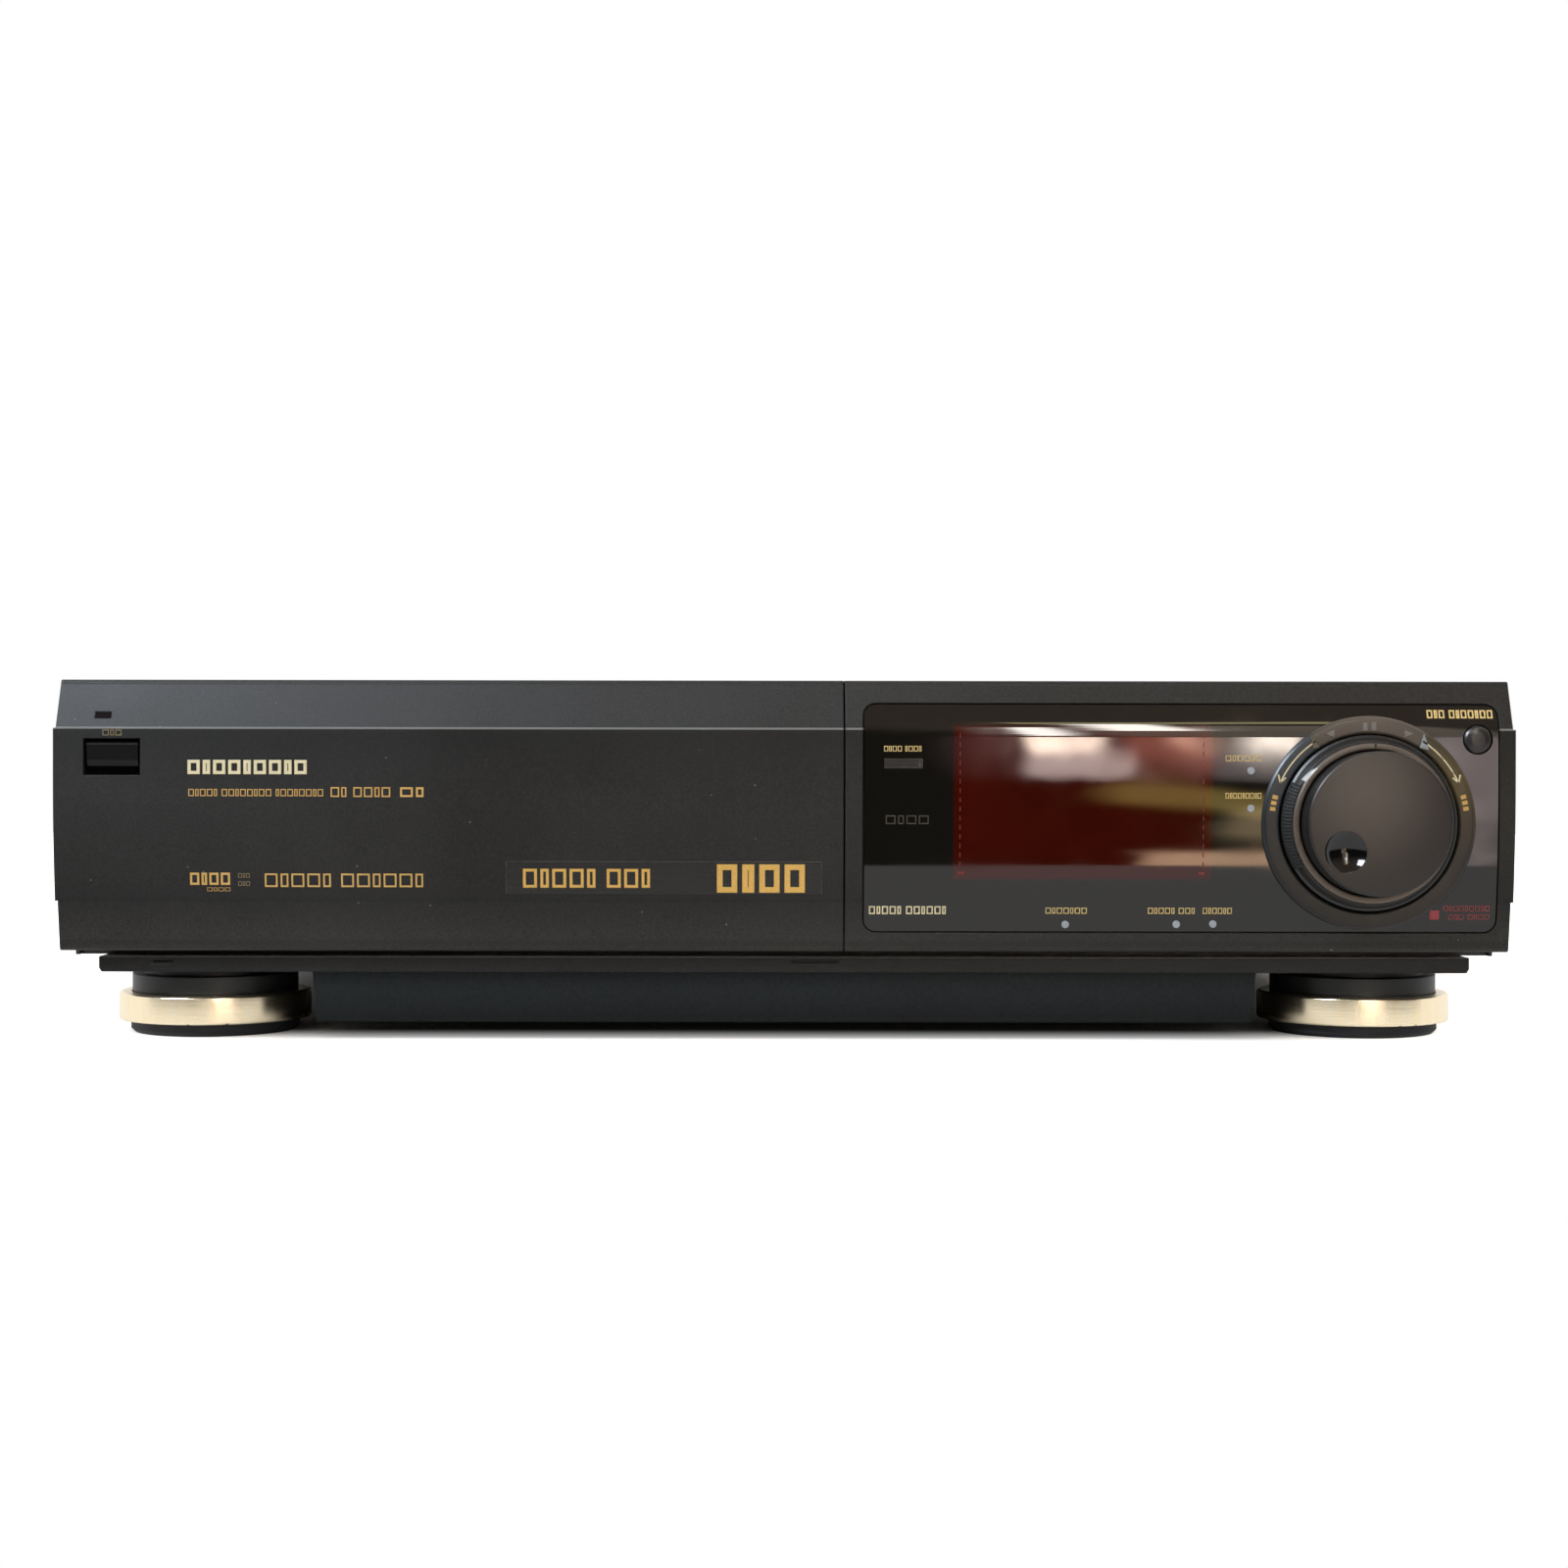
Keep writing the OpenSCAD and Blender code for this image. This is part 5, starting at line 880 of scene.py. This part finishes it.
slabs("wide_socket_blades", gold_plate, "case", blades, socket_floor, -1.0, -4.9)

# Behind the doors: a black control tray with six keys and their pictograms, the display tube on a
# circuit board, and the jacks and knob beside the cassette slot.
dress(moulded("fine_grained_tray_abs", "181818", "222221", 0.45, grain=0.5)[0], "control_panel")
dress(moulded("satin_grey_key", "55565a", "66676b", 0.4, grain=0.5, bump=0.01, edge=0.5)[0], "play_key",
    "stop_key", "rewind_key", "forward_key", "pause_key")
dress(moulded("satin_red_key", "7c1d20", "93292b", 0.4, grain=0.5, bump=0.01, edge=0.5)[0], "record_key")
dress(moulded("knurled_knob_abs", "2b2b2c", "3a3a3b", 0.45, grain=0.7, bump=0.03, edge=0.5)[0],
    "tracking_knob")
pictograms = {
    "rewind_key": [arrow(98.2, 22, -3, 3.4), arrow(101.4, 22, -3, 3.4)],
    "play_key": [arrow(117.2, 22, 3.6, 3.8)],
    "forward_key": [arrow(132.6, 22, 3, 3.4), arrow(135.8, 22, 3, 3.4)],
    "stop_key": [block(149.4, 152.6, 20.4, 23.6)],
    "pause_key": [block(166.4, 167.4, 20.3, 23.7), block(168.6, 169.6, 20.3, 23.7)],
    "record_key": disc(185, 22, 1.7),
}
key_front, knob_front, tray_front = 19.45, 9.5, 24.0
for node, shapes in pictograms.items():
    slabs(node + "_pictogram", white_ink, node, shapes, key_front, 0.03)
slabs("knob_line", white_ink, "tracking_knob", [block(-110.3, -109.7, 25.5, 29.5)], knob_front, 0.03)
key_rows = [b for k in range(6) for b in type_row(94.5 + 17 * k, 105.5 + 17 * k, 29.0, 1.5, (4 + k % 3,))]
slabs("tray_print", white_ink, "case", key_rows, tray_front, 0.03)
dress(moulded("dark_display_glass", "0c1412", "121c19", 0.08, grain=2.0, bump=0.002, IOR=1.5)[0],
    "display_module")


def digit(x, z, wide, tall, line):
    """The seven bars of a digit of a display, all of them unlit"""
    low, middle, high = z, z + tall / 2, z + tall
    lying = [block(x + line, x + wide - line, b - line / 2, b + line / 2) for b in (low, middle, high)]
    return lying + [block(a, a + line, b + line / 2, c - line / 2)
        for a in (x, x + wide - line) for b, c in ((low, middle), (middle, high))]


tube_front = 19.45
segments = [b for x in (62, 74, 91, 103) for b in digit(x, 42, 8.5, 15, 1.5)]
segments += disc(86.7, 46, 0.9) + disc(86.7, 53, 0.9)
slabs("display_segments", moulded("unlit_phosphor", "33443d", "415349", 0.5, bump=0.002)[0], "case",
    segments, tube_front, 0.02)

# Boards: green solder mask with a web of tracks. The left board is green only behind its switch and
# jacks, which are black plastic.
solder_mask, tree, spot, tone, shader = moulded("green_circuit_board", "12361f", "1c4c2c", 0.32, grain=1.2,
    bump=0.01)
traces = add(tree, "TexBrick", Vector=spot, Color1="12361f", Color2="153d24",
    Mortar="2f7443", Scale=120.0, Mortar_Size=0.05, Brick_Width=1.3, Row_Height=0.28)
webbed = add(tree, "MixRGB", Fac=0.55, Color1=tone, Color2=traces)
recolour(shader, webbed)
dress(solder_mask, "front_board", "main_board", "power_supply")
jack_back = 26.1
jack_abs, tree, spot, tone, shader = moulded("black_jack_plastic", "151515", "1f1f1e", 0.35, bump=0.01)
axis = add(tree, "SeparateXYZ", Vector=spot)
plate = add(tree, "Math", operation="GREATER_THAN", i0=axis.outputs["Y"], i1=face_y + jack_back / 1000)
parted = add(tree, "MixRGB", Fac=plate, Color1=tone, Color2="18442a")
recolour(shader, parted)
dress(jack_abs, "left_board")

# Tape deck: machined die-cast drums on the zinc-plated deck, with nylon gears and a rubber roller.
dress(moulded("machined_drum_alloy", "a5a6a6", "c4c5c4", 0.24, grain=0.5, bump=0.004, Metallic=1.0)[0],
    "lower_drum", "upper_drum")
dress(moulded("natural_nylon", "c9c4b4", "ded9cb", 0.5, grain=0.8, bump=0.01)[0], "cam_gear", "worm")
dress(moulded("ground_drive_rubber", "141414", "1e1e1d", 0.75, grain=0.4, bump=0.03)[0], "pinch_roller")
